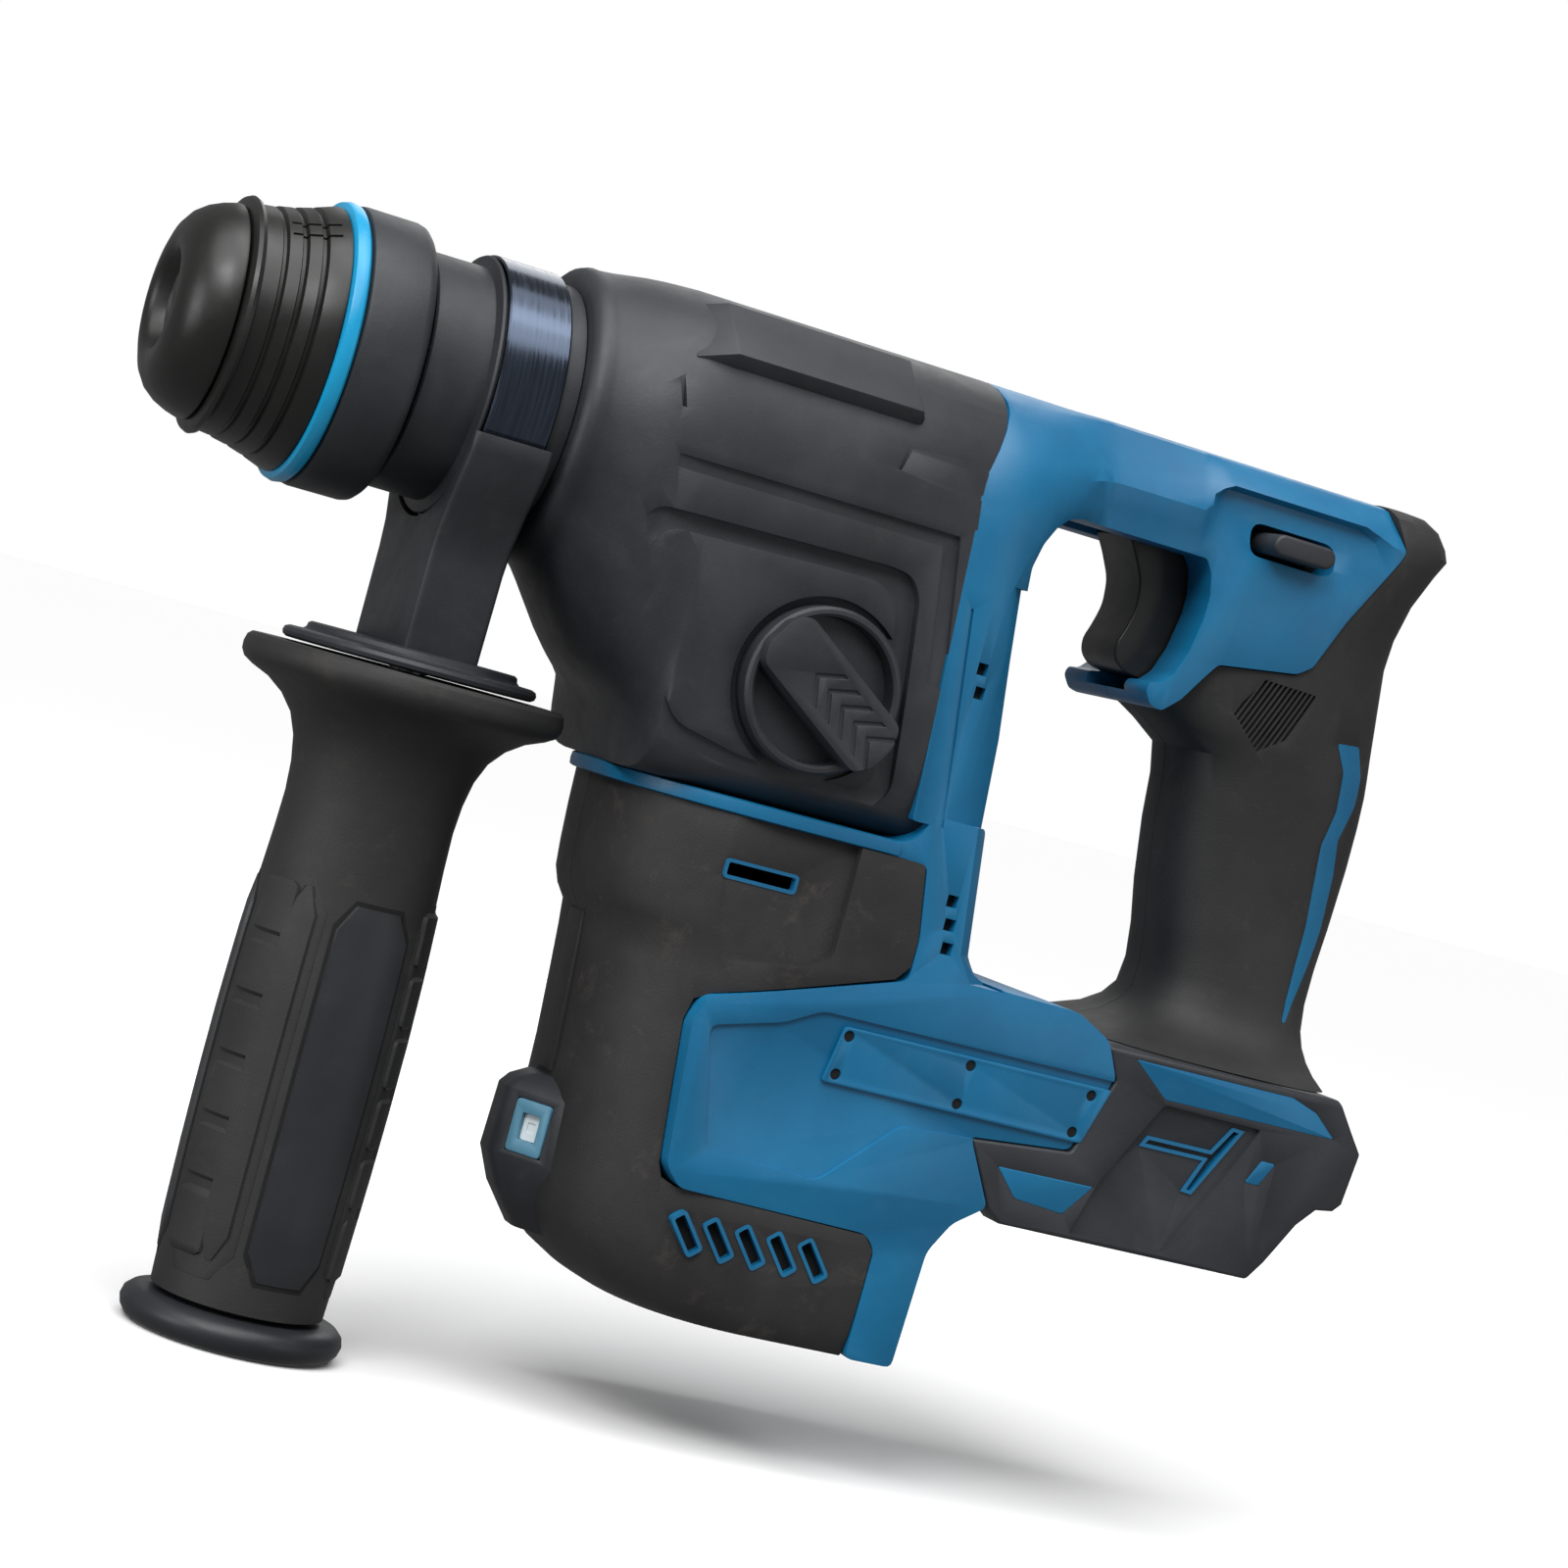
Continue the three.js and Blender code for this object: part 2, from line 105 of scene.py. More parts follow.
def loft(name, rings):
    """A closed skin through rings of equally many points, each an (x, y, z) list in millimetres."""
    piece = start_ring(name, rings[0], "NGON")
    bpy.ops.object.mode_set(mode="EDIT")
    bpy.ops.mesh.select_all(action="SELECT")
    last = rings[0]
    for ring in rings[1:]:
        bpy.ops.mesh.extrude_region_move()
        mesh = bmesh.from_edit_mesh(piece.data)
        place = {tuple(round(c, 3) for c in point): i for i, point in enumerate(last)}
        for vertex in [v for v in mesh.verts if v.select]:
            key = tuple(round(c / MM, 3) for c in vertex.co)
            near = place.get(key)
            if near is None:
                near = min(range(len(last)), key=lambda i: (Vector(last[i]) * MM - vertex.co).length)
            vertex.co = Vector(ring[near]) * MM
        bmesh.update_edit_mesh(piece.data)
        last = ring
    bpy.ops.mesh.select_all(action="SELECT")
    bpy.ops.mesh.normals_make_consistent(inside=False)
    bpy.ops.object.mode_set(mode="OBJECT")
    return piece


def plate(name, outline, low, high):
    """A side outline of (x, z) points pushed through from y = low to y = high."""
    return loft(name, [[(x, low, z) for x, z in outline], [(x, high, z) for x, z in outline]])


def spun(name, profile, axis, centre, steps=96):
    """A profile polygon turned right round an axis; its points are (radius, distance along the axis)."""
    side = Vector(Z_AXIS) if axis == X_AXIS else Vector(X_AXIS)
    if axis == Y_AXIS:
        side = Vector(X_AXIS)
    points = [Vector(centre) + side * max(r, 0.0) + Vector(axis) * t for r, t in profile]
    piece = start_ring(name, points, "NOTHING")
    bpy.ops.object.mode_set(mode="EDIT")
    bpy.ops.mesh.select_all(action="SELECT")
    bpy.ops.mesh.spin(steps=steps, angle=2 * math.pi, center=Vector(centre) * MM, axis=axis)
    bpy.ops.mesh.select_all(action="SELECT")
    bpy.ops.mesh.remove_doubles(threshold=0.00001)
    bpy.ops.mesh.normals_make_consistent(inside=False)
    bpy.ops.object.mode_set(mode="OBJECT")
    return piece


def apply_modifier(piece, kind, **settings):
    pick(piece)
    modifier = piece.modifiers.new(kind.title(), kind)
    for key, value in settings.items():
        setattr(modifier, key, value)
    bpy.ops.object.modifier_apply(modifier=modifier.name)


def combine(piece, other, operation="DIFFERENCE"):
    """Cuts, joins or trims a piece with another one, which is used up."""
    apply_modifier(piece, "BOOLEAN", object=other, operation=operation, solver="EXACT")
    if not piece.data.polygons:
        raise RuntimeError(f"{piece.name}: nothing is left after {operation} with {other.name}")
    bpy.data.objects.remove(other)
    return piece


def rounded(piece, width, segments=3, angle=32.0):
    """Rounds the edges sharper than angle by width millimetres."""
    apply_modifier(piece, "BEVEL", width=width * MM, segments=segments, limit_method="ANGLE",
                   angle_limit=math.radians(angle), use_clamp_overlap=True, miter_outer="MITER_ARC")
    return piece


def smoothed(piece, angle=34.0):
    pick(piece)
    bpy.ops.object.shade_smooth_by_angle(angle=math.radians(angle))
    return piece


def joined(name, pieces):
    clear_selection()
    for piece in pieces:
        piece.select_set(True)
    bpy.context.view_layer.objects.active = pieces[0]
    if len(pieces) > 1:
        bpy.ops.object.join()
    pieces[0].name = pieces[0].data.name = name
    return pieces[0]


def settled(piece):
    """Moves the object's own place into its mesh."""
    pick(piece)
    bpy.ops.object.transform_apply(location=True, rotation=True, scale=True)
    return piece


def halves(piece, name, gap=0.12):
    """Parts a moulding on the centre plane and returns its left and right halves."""
    result = []
    for side, sign in (("left", -1), ("right", 1)):
        pick(piece)
        bpy.ops.object.duplicate()
        half = bpy.context.object
        half.name = half.data.name = f"{name}_{side}"
        bpy.ops.object.mode_set(mode="EDIT")
        bpy.ops.mesh.select_all(action="SELECT")
        bpy.ops.mesh.bisect(plane_co=(0, sign * gap * MM, 0), plane_no=(0, sign, 0), use_fill=True,
                            clear_inner=True, threshold=0.000001)
        bpy.ops.object.mode_set(mode="OBJECT")
        result.append(smoothed(half))
    bpy.data.objects.remove(piece)
    return result


def arc(cx, cy, radius, start, end, steps):
    """Points on a circle, angles in degrees."""
    turns = [math.radians(start + (end - start) * i / steps) for i in range(steps + 1)]
    return [(cx + radius * math.cos(t), cy + radius * math.sin(t)) for t in turns]


def round_corners(points, radius, steps=5):
    """A copy of a closed outline with its corners turned into arcs of at most this radius."""
    made = []
    count = len(points)
    for i, corner in enumerate(points):
        here = Vector(corner)
        to_last = Vector(points[i - 1]) - here
        to_next = Vector(points[(i + 1) % count]) - here
        back = min(radius, to_last.length * 0.45, to_next.length * 0.45)
        a = here + to_last.normalized() * back
        b = here + to_next.normalized() * back
        for step in range(steps + 1):
            t = step / steps
            made.append(tuple((1 - t) ** 2 * a + 2 * t * (1 - t) * here + t * t * b))
    return made


def power(value, exponent):
    return math.copysign(abs(value) ** exponent, value)


# ---------------------------------------------------------------- materials
def linear(hex_colour):
    """An sRGB hex colour as linear red, green, blue and full alpha."""
    values = [int(hex_colour[i:i + 2], 16) / 255 for i in (1, 3, 5)]
    return [v / 12.92 if v <= 0.04045 else ((v + 0.055) / 1.055) ** 2.4 for v in values] + [1.0]


def add_node(tree, kind, inputs=None, **settings):
    """Adds a node; inputs maps socket names to a value or to another node's output socket."""
    node = tree.nodes.new(kind)
    for key, value in settings.items():
        setattr(node, key, value)
    for key, value in (inputs or {}).items():
        if isinstance(value, bpy.types.NodeSocket):
            tree.links.new(value, node.inputs[key])
        else:
            node.inputs[key].default_value = value
    return node


def moulded(name, light, dark, roughness, grain_mm, grain_depth, scuff="#000000", scuff_amount=0.0,
            ior=1.5, metallic=0.0, coat=0.0):
    """A surface with a fine grain, cloudy handling marks and pale rubbed patches."""
    material = bpy.data.materials.new(name)
    material.use_nodes = True
    tree = material.node_tree
    shader = tree.nodes["Principled BSDF"]
    place = add_node(tree, "ShaderNodeTexCoord").outputs["Object"]
    cloud = add_node(tree, "ShaderNodeTexNoise", {"Vector": place, "Scale": 1 / (28 * MM), "Detail": 6.0,
                                                  "Roughness": 0.6})
    rub = add_node(tree, "ShaderNodeTexNoise", {"Vector": place, "Scale": 1 / (9 * MM), "Detail": 9.0,
                                                "Roughness": 0.72, "Distortion": 0.4})
    grain = add_node(tree, "ShaderNodeTexNoise", {"Vector": place, "Scale": 1 / (grain_mm * MM),
                                                  "Detail": 3.0})
    tone = add_node(tree, "ShaderNodeMapRange", {"Value": cloud.outputs["Fac"], "From Min": 0.35,
                                                 "From Max": 0.65})
    base = add_node(tree, "ShaderNodeMix", data_type="RGBA")
    tree.links.new(tone.outputs["Result"], base.inputs[0])
    base.inputs[6].default_value = linear(dark)
    base.inputs[7].default_value = linear(light)
    rubbed = add_node(tree, "ShaderNodeMapRange", {"Value": rub.outputs["Fac"], "From Min": 0.56,
                                                   "From Max": 0.74, "To Max": scuff_amount})
    worn = add_node(tree, "ShaderNodeMix", data_type="RGBA")
    tree.links.new(rubbed.outputs["Result"], worn.inputs[0])
    tree.links.new(base.outputs[2], worn.inputs[6])
    worn.inputs[7].default_value = linear(scuff)
    tree.links.new(worn.outputs[2], shader.inputs["Base Color"])
    gloss = add_node(tree, "ShaderNodeMapRange", {"Value": rub.outputs["Fac"], "From Min": 0.3,
                                                  "From Max": 0.7,
                                                  "To Min": roughness - 0.07, "To Max": roughness + 0.07})
    tree.links.new(gloss.outputs["Result"], shader.inputs["Roughness"])
    bump = add_node(tree, "ShaderNodeBump", {"Height": grain.outputs["Fac"], "Strength": 0.6,
                                             "Distance": grain_depth * MM})
    tree.links.new(bump.outputs["Normal"], shader.inputs["Normal"])
    shader.inputs["IOR"].default_value = ior
    shader.inputs["Metallic"].default_value = metallic
    shader.inputs["Coat Weight"].default_value = coat
    shader.inputs["Coat Roughness"].default_value = 0.2
    return material


def turned_metal(name, light, dark, roughness, line_mm):
    """A lathe-cut metal: fine rings round the drilling axis in both gloss and height."""
    material = bpy.data.materials.new(name)
    material.use_nodes = True
    tree = material.node_tree
    shader = tree.nodes["Principled BSDF"]
    place = add_node(tree, "ShaderNodeTexCoord").outputs["Object"]
    stretch = add_node(tree, "ShaderNodeMapping", {"Vector": place, "Scale": (1.0, 0.04, 0.04)})
    lines = add_node(tree, "ShaderNodeTexNoise", {"Vector": stretch.outputs[0], "Scale": 1 / (line_mm * MM),
                                                  "Detail": 4.0})
    base = add_node(tree, "ShaderNodeMix", data_type="RGBA")
    tree.links.new(lines.outputs["Fac"], base.inputs[0])
    base.inputs[6].default_value = linear(dark)
    base.inputs[7].default_value = linear(light)
    tree.links.new(base.outputs[2], shader.inputs["Base Color"])
    gloss = add_node(tree, "ShaderNodeMapRange", {"Value": lines.outputs["Fac"], "From Min": 0.3,
                                                  "From Max": 0.7,
                                                  "To Min": roughness - 0.06, "To Max": roughness + 0.08})
    tree.links.new(gloss.outputs["Result"], shader.inputs["Roughness"])
    bump = add_node(tree, "ShaderNodeBump", {"Height": lines.outputs["Fac"], "Strength": 0.35,
                                             "Distance": 0.02 * MM})
    tree.links.new(bump.outputs["Normal"], shader.inputs["Normal"])
    shader.inputs["Metallic"].default_value = 1.0
    return material


FINISH = {}


def make_finishes():
    """Every finish on the tool, each named for the real material, and one near-black painted shade."""
    colours = bpy.context.scene.hammer_colours
    # Glass-filled nylon from an eroded mould: satin black, faint cloudy handling marks, dusty rubbed spots.
    FINISH["nylon"] = moulded("glass_filled_nylon_black", colours.black_light, colours.black_dark, 0.50,
                              0.55,
                              0.05, "#565049", 0.14)
    # Thermoplastic rubber overmould: duller than the nylon and holding a brownish dust.
    FINISH["rubber"] = moulded("overmoulded_rubber_black", colours.rubber_light, colours.rubber_dark, 0.62,
                               0.5,
                               0.07, "#5A534B", 0.20)
    # The motor housing's boot: the same rubber, with more and browner pale patches mixed in at random.
    FINISH["boot"] = moulded("overmoulded_rubber_boot", "#2C2B2B", "#201F20", 0.60, 0.5, 0.07, "#665C52",
                             0.30)
    # Polished rubber pads: smoother and a touch bluer than the rubber round them.
    FINISH["slick"] = moulded("polished_rubber_pad", "#25272B", "#1D1F23", 0.46, 0.6, 0.02, "#4A4744", 0.08)
    # Nitrile chuck parts: deep black with a soft wet-looking sheen.
    FINISH["gloss"] = moulded("nitrile_rubber_black", "#191817", "#121110", 0.38, 0.6, 0.02, "#3A342E",
                              0.12)
    # Through-coloured nylon: even blue, fine spark-eroded grain, slight sheen.
    FINISH["blue"] = moulded("glass_filled_nylon_blue", colours.blue_light, colours.blue_dark, 0.42, 0.5,
                             0.03,
                             "#4E92B6", 0.08)
    # The lamp frames: the same nylon in a paler blue.
    FINISH["pale"] = moulded("glass_filled_nylon_pale_blue", "#5A8FA8", "#4A7E97", 0.45, 0.5, 0.03)
    # Gloss-moulded acetal ring: saturated bright blue with a clean highlight.
    FINISH["cyan"] = moulded("acetal_ring_bright_blue", colours.ring, "#1391C2", 0.30, 0.8, 0.01)
    # Painted shade: near-black sheets set in vent pockets, hole floors, the lever slot and round the grip
    # pads, where only shade falls; they take no highlight.
    FINISH["shadow"] = moulded("painted_shade_black", "#0B0C0D", "#070708", 0.9, 0.6, 0.02)
    # Polished and blued spring-steel strap: dark blue-grey mirror with faint drawing lines.
    FINISH["band"] = turned_metal("blued_spring_steel", "#5C6677", "#3A424F", 0.17, 0.6)
    # Turned alloy steel: grey with fine tool marks round the axis.
    FINISH["steel"] = turned_metal("turned_alloy_steel", "#B9BBBD", "#8B8E91", 0.32, 0.4)
    # Zinc-plated screw heads: pale and slightly dull.
    FINISH["zinc"] = moulded("zinc_plated_steel", "#8F9295", "#6E7174", 0.36, 0.4, 0.01, metallic=1.0)
    # Enamelled copper windings on steel laminations.
    FINISH["copper"] = turned_metal("enamelled_copper_winding", "#B5693A", "#6E3B1E", 0.35, 0.9)
    # Solder-masked glass epoxy.
    FINISH["board"] = moulded("solder_masked_epoxy", "#1F5A40", "#184A34", 0.35, 0.6, 0.01)
    # Stamped brass blades.
    FINISH["brass"] = moulded("stamped_brass", "#C9A65A", "#A98743", 0.28, 0.5, 0.01, metallic=1.0)
    # Clear polycarbonate lamp window over a pale reflector.
    FINISH["lens"] = moulded("polycarbonate_window", "#E6EEF1", "#C9D6DC", 0.12, 0.8, 0.005, coat=0.6)


def finish(piece, key, body="body", replaced=(), angle=34.0):
    """Gives a modelled piece its material, slot, body and the frame nodes it stands for."""
    smoothed(piece, angle)
    piece.data.materials.clear()
    piece.data.materials.append(FINISH[key])
    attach(piece, body)
    if replaced:
        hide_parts(*replaced)
    return piece


# ---------------------------------------------------------------- shared forms
def body_ring(x, half, top, bottom, exponent, bow=2.0, count=30):
    """Section of the gear housing: a round top and a lower half that goes from round to square."""
    upper = [(x, half * power(math.cos(math.pi * i / count), 2 / bow),
              top * math.sin(math.pi * i / count) ** (2 / bow))
             for i in range(count + 1)]
    lower = []
    for i in range(1, count):
        t = math.pi + math.pi * i / count
        lower.append((x, half * power(math.cos(t), 2 / exponent),
                      -bottom * abs(math.sin(t)) ** (2 / exponent)))
    return upper + lower


def plan_ring(z, front, back, half, front_power, back_power, count=28):
    """Level section of a housing: superellipse ends about its own middle."""
    mid = (front + back) / 2
    ring = []
    for i in range(2 * count):
        t = math.pi * i / count + math.pi / 2
        exponent = front_power if math.cos(t) < 0 else back_power
        reach = (mid - front) if math.cos(t) < 0 else (back - mid)
        ring.append((mid + reach * power(math.cos(t), 2 / exponent),
                     half * power(math.sin(t), 2 / exponent), z))
    return ring


def cap_outline(x0, x1, z0, z1):
    return [(x0, z0), (x1, z0), (x1, z1), (x0, z1)]


# ---------------------------------------------------------------- chuck
def build_chuck():
    nose = [(5.6, -56.6), (8.6, -57.4), (10.0, -60.4), (10.8, -61.4), (12.0, -61.8), (14.2, -61.6),
            (16.6, -60.8),
            (18.9, -59.2), (20.6, -57.0), (21.8, -54.4), (22.6, -51.7), (22.5, -51.2), (22.1, -51.0),
            (9.2, -51.0),
            (9.0, -56.2), (5.6, -56.2)]
    cap = spun("dust_cap_rubber", nose, X_AXIS, (0, 0, 0), 112)
    finish(cap, "gloss", "tool_holder", ["dust_cap"])

    sleeve = [(10.4, -50.6), (23.2, -50.6), (24.5, -50.0), (24.9, -49.2), (24.6, -48.4), (23.6, -48.0),
              (24.0, -44.8), (23.6, -44.5), (23.6, -43.9), (24.4, -43.5), (24.9, -41.0), (24.4, -40.7),
              (24.4, -40.0),
              (25.3, -39.6), (26.0, -37.2), (25.5, -36.9), (25.5, -36.2), (26.5, -35.8), (27.8, -32.2),
              (27.8, -31.5), (10.4, -31.5)]
    cover = spun("sliding_sleeve", sleeve, X_AXIS, (0, 0, 0), 112)
    for start in (36, 216):
        for x0, x1, y0, y1 in ((-42.9, -33.4, 1.6, 2.3), (-42.9, -33.4, -2.3, -1.6)):
            line = plate("line_cut", cap_outline(x0, x1, 23.2, 29.5), y0, y1)
            line.matrix_world = Matrix.Rotation(math.radians(start), 4, "X")
            combine(cover, settled(line))
    finish(cover, "gloss", "sleeve", ["chuck_cover"])

    ring = [(21, -31.2), (28.4, -31.2), (29.1, -30.9), (29.5, -29.6), (29.3, -28.4), (28.8, -27.9),
            (21, -27.9)]
    finish(spun("accent_band", ring, X_AXIS, (0, 0, 0), 128), "cyan", "sleeve",
           ["accent_ring"])

    collar = [(21, -27.6), (28.6, -27.6), (29.3, -27.2), (29.5, -26.2), (29.5, -15.6), (29.2, -14.4),
              (28.4, -13.6), (27.2, -13.3), (25.8, -13.3), (25.8, -22), (21, -22)]
    body = spun("sleeve_collar_shell", collar, X_AXIS, (0, 0, 0), 128)
    finish(body, "nylon", "sleeve", ["sleeve_collar"])

    tube = [(19, -12), (24.6, -12), (25, -11.6), (25.1, 0.6), (25.8, 0.9), (27.4, 1.2), (27.7, 1.7),
            (27.4, 2.1),
            (26.6, 2.2), (26.6, 20.1), (19, 20.1)]
    finish(spun("nose_tube", tube, X_AXIS, (0, 0, 0), 112), "nylon", "body",
           ["barrel_tube"])


# ---------------------------------------------------------------- side handle
def build_clamp():
    strap = [(26.9, 2.5), (27.8, 2.5), (28.1, 2.9), (28.1, 15.9), (27.8, 16.3), (26.9, 16.3)]
    finish(spun("clamp_strap", strap, X_AXIS, (0, 0, 0), 128), "band", "clamp",
           ["clamp_band"])

    def block_ring(z, half, x0, x1):
        outline = round_corners([(x0, -half), (x1, -half), (x1, half), (x0, half)], 1.4, 4)
        return [(x, y, z) for x, y in outline]

    block = loft("clamp_block", [block_ring(-9.2, 28.4, 0.6, 17.8), block_ring(-13, 28.2, 0.7, 17.7),
                                 block_ring(-22, 23.4, 0.8, 17.6), block_ring(-30, 19.8, 0.8, 17.5),
                                 block_ring(-36, 18.9, 0.8, 17.4), block_ring(-55.6, 18.7, 0.8, 17.2)])
    barrel = spun("barrel_cut", [(0, -30), (28.4, -30), (28.4, 60), (0, 60)], X_AXIS, (0, 0, 0), 96)
    combine(block, barrel)
    rounded(block, 0.5, 2, 50)
    finish(block, "nylon", "clamp", ["clamp_base"])

    rim = [(4.4, -59.3), (26.2, -59.3), (27.0, -58.8), (27.2, -58.0), (26.9, -57.2), (26.0, -56.8),
           (23.2, -56.7),
           (22.6, -56.2), (22.4, -55.3), (21.8, -54.9), (4.4, -54.9)]
    washer = spun("clamp_plate", rim, Z_AXIS, (SIDE_X, 0, 0), 96)
    finish(washer, "nylon", "clamp", ["side_plate"])


GRIP_PROFILE = [(33.0, -60.0), (33.9, -60.8), (34.3, -62.4), (34.2, -64.0), (33.4, -65.4), (31.4, -66.6),
                (27.6, -68.2), (24.0, -70.8), (21.2, -74.2), (19.4, -78.6), (18.4, -84), (18.0, -90),
                (18.2, -98),
                (18.7, -108), (19.2, -120), (19.5, -135), (19.5, -150), (19.3, -165), (18.9, -180),
                (18.6, -190),
                (18.4, -195.2)]


def grip_radius(z):
    """Radius of the side grip at a height, read off its profile."""
    for (r0, z0), (r1, z1) in zip(GRIP_PROFILE, GRIP_PROFILE[1:]):
        if z0 >= z >= z1:
            return r0 + (r1 - r0) * (z0 - z) / (z0 - z1)
    return GRIP_PROFILE[-1][0]


def grip_pad(name, middle, spread, top, bottom, proud, corner=4.0, steps=9):
    """A raised pad that follows the grip's curve, with its corners rounded off at both ends."""
    rings = []
    stations = 14
    for i in range(stations + 1):
        z = top + (bottom - top) * i / stations
        from_end = min(top - z, z - bottom)
        cut = 0 if from_end > corner else corner - math.sqrt(max(corner ** 2 - (corner - from_end) ** 2, 0))
        radius = grip_radius(z)
        half = spread - math.degrees(cut / radius)
        edge = 0.35 if from_end < 0.01 else 1.0
        angles = [math.radians(middle - half + 2 * half * k / steps) for k in range(steps + 1)]
        rim = math.radians(1.6)
        outer = [(radius + proud * edge, t) for t in angles]
        outer = [(radius + 0.1, angles[0] - rim)] + outer + [(radius + 0.1, angles[-1] + rim)]
        inner = [(radius - 1.5, t) for t in reversed(angles)]
        rings.append([(SIDE_X + r * math.cos(t), r * math.sin(t), z) for r, t in outer + inner])
    return loft(name, rings)


def build_side_grip():
    profile = [(4.4, -59.9)] + GRIP_PROFILE + [(16, -196.0), (4.4, -196.0)]
    grip = spun("side_grip_body", profile, Z_AXIS, (SIDE_X, 0, 0), 96)
    finish(grip, "rubber", "side_handle", ["side_grip"])
    for k, middle in enumerate((-83, 37, 157)):
        # a near-black skin just wider than each smooth pad: painted shade in the crease round it
        pad_shade = grip_pad("side_grip_painted_shade_rim", middle, 25.6, -107.4, -189, 0.18, corner=3.4)
        finish(pad_shade, "shadow", "side_handle")
        pad = grip_pad(f"side_grip_smooth_pad_{k + 1}", middle, 23.4, -108.4, -188, 0.7, corner=3.0)
        finish(pad, "slick", "side_handle")
    for k, middle in enumerate((-143, -23, 97)):
        cuts = [-106, -119.5, -132.5, -145.5, -158.5, -171.5, -187]
        blocks = [grip_pad("block", middle - 8, 13.5, high - 0.9, low + 0.9, 0.95, corner=1.6)
                  for high, low in zip(cuts, cuts[1:])]
        spine = grip_pad("spine", middle + 12, 9, -106.9, -186.1, 0.95, corner=2.4)
        border = grip_pad("border", middle + 1, 25, -105.4, -190, 0.3, corner=4)
        finish(joined(f"side_grip_block_pad_{k + 1}", blocks + [spine, border]), "rubber",
               "side_handle")
    bead = [(0, -203.4), (20.4, -203.4), (22.2, -202.8), (23.3, -201.4), (23.7, -199.8), (23.3, -198.2),
            (22.0, -197.0), (20.2, -196.5), (0, -196.5)]
    cap = spun("side_grip_end_bead", bead, Z_AXIS, (SIDE_X, 0, 0), 96)
    finish(cap, "slick", "side_handle", ["side_grip_cap"])


# ---------------------------------------------------------------- gear housing
def side_cut(name, outline, depth, half=BODY_HALF, sides=(-1, 1), past=4.0):
    """Cutters that sink an outline of (x, z) points into one or both sides of the body."""
    made = []
    for side in sides:
        near, far = sorted((side * (half - depth), side * (half + past)))
        made.append(plate(name, outline, near, far))
    return joined(name, made)


def build_gear_housing():
    stations = [(20.4, 28.6, 28.6, 28.6, 2, 2), (20.7, 29.8, 29.8, 29.8, 2, 2),
                (21.8, 31.0, 31.0, 31.0, 2, 2),
                (23.4, 31.6, 31.6, 31.9, 2, 2), (24.8, 31.5, 31.5, 32.4, 2, 2),
                (26.0, 31.7, 31.6, 33.2, 2, 2),
                (28.0, 32.2, 31.8, 35.0, 2.1, 2), (31.0, 33.2, 32.3, 38.4, 2.2, 2),
                (35.0, 34.6, 32.9, 42.6, 2.5, 2.05),
                (39.0, 35.8, 33.3, 46.6, 2.9, 2.1), (43.0, 36.5, 33.5, 50.0, 3.4, 2.2),
                (47.0, 36.9, 33.7, 53.0, 4.0, 2.2),
                (50.4, 37.0, 33.7, 56.5, 4.6, 2.2), (51.8, 37.0, 33.7, 62.0, 5.4, 2.2),
                (52.8, 37.0, 33.7, 67.0, 6.5, 2.2),
                (58.0, 37.0, 33.7, 67.0, 9.0, 2.2), (80.0, 37.0, 33.7, 67.0, 9.0, 2.2),
                (120.0, 37.0, 33.7, 67.0, 9.0, 2.2)]
    shell = loft("gear_housing_shell", [body_ring(*s) for s in stations])
    trim = round_corners([(118, -67.2), (107.5, 10), (115, 28), (115, 60), (10, 60), (10, -67.2)], 7.0, 6)
    combine(shell, plate("rear_trim", trim, -60, 60), "INTERSECT")
    throat = spun("throat_cut", [(0, 0), (19.5, 0), (19.5, 102), (0, 102)], X_AXIS, (0, 0, 0), 64)
    combine(shell, throat)

    pocket = round_corners([(34, -29), (38.7, -13.4), (92, -12.2), (97.3, -12.8), (100.4, -17), (106, -58),
                            (102.5, -62.5), (70, -62), (52, -58)], 3.5, 5)
    island = round_corners([(38.0, -30), (42.2, -17.2), (90.5, -15.8), (95.6, -19.6), (101.4, -55),
                            (98.8, -58.8),
                            (72, -58.6), (55, -55)], 3.4, 5)
    groove = combine(side_cut("frame_cut", pocket, 2.4), side_cut("island_keep", island, 3.4, past=6))
    combine(shell, groove)
    rail = round_corners([(40.8, -2.3), (105.6, -2.3), (111.2, -34), (107, -34), (102.4, -5.3),
                          (41.2, -5.1)], 0.6, 3)
    combine(shell, side_cut("rail_cut", rail, 1.1))
    marks = [side_cut("mark", [(37.0, 16), (38, 16), (40, 7), (39.0, 7)], 4.0),
             side_cut("mark", [(91.2, 16.5), (92.2, 16.5), (88.8, 7.5), (88, 7.5)], 2.0)]
    combine(shell, joined("marks", marks))
    seat = spun("knob_seat", [(0, -45), (19.4, -45), (19.4, -34.6), (0, -34.6)], Y_AXIS,
                (KNOB_X, 0, KNOB_Z), 96)
    combine(shell, seat)
    rounded(shell, 0.45, 2, 38)
    finish(shell, "nylon", "body", ["gear_housing"])

    # raised shoulder pads: a flat outer face over a dark undercut, with a long sloping front end
    for side, sign in (("left", -1), ("right", 1)):
        def section(x, sink, foot=0.0):
            points = ((20.6, 31.4), (34.9, 20.6), (31.9 + foot, 16.8), (24, 13), (10, 26), (16, 30.2))
            return [(x, sign * (y - sink * 0.75), z - sink * 0.62) for y, z in points]
        pad = loft(f"shoulder_pad_{side}", [section(40.5, 4.4), section(48.2, 0), section(91.0, 0),
                                            section(92.4, 2.6)])
        rounded(pad, 0.35, 2, 25)
        finish(pad, "nylon")


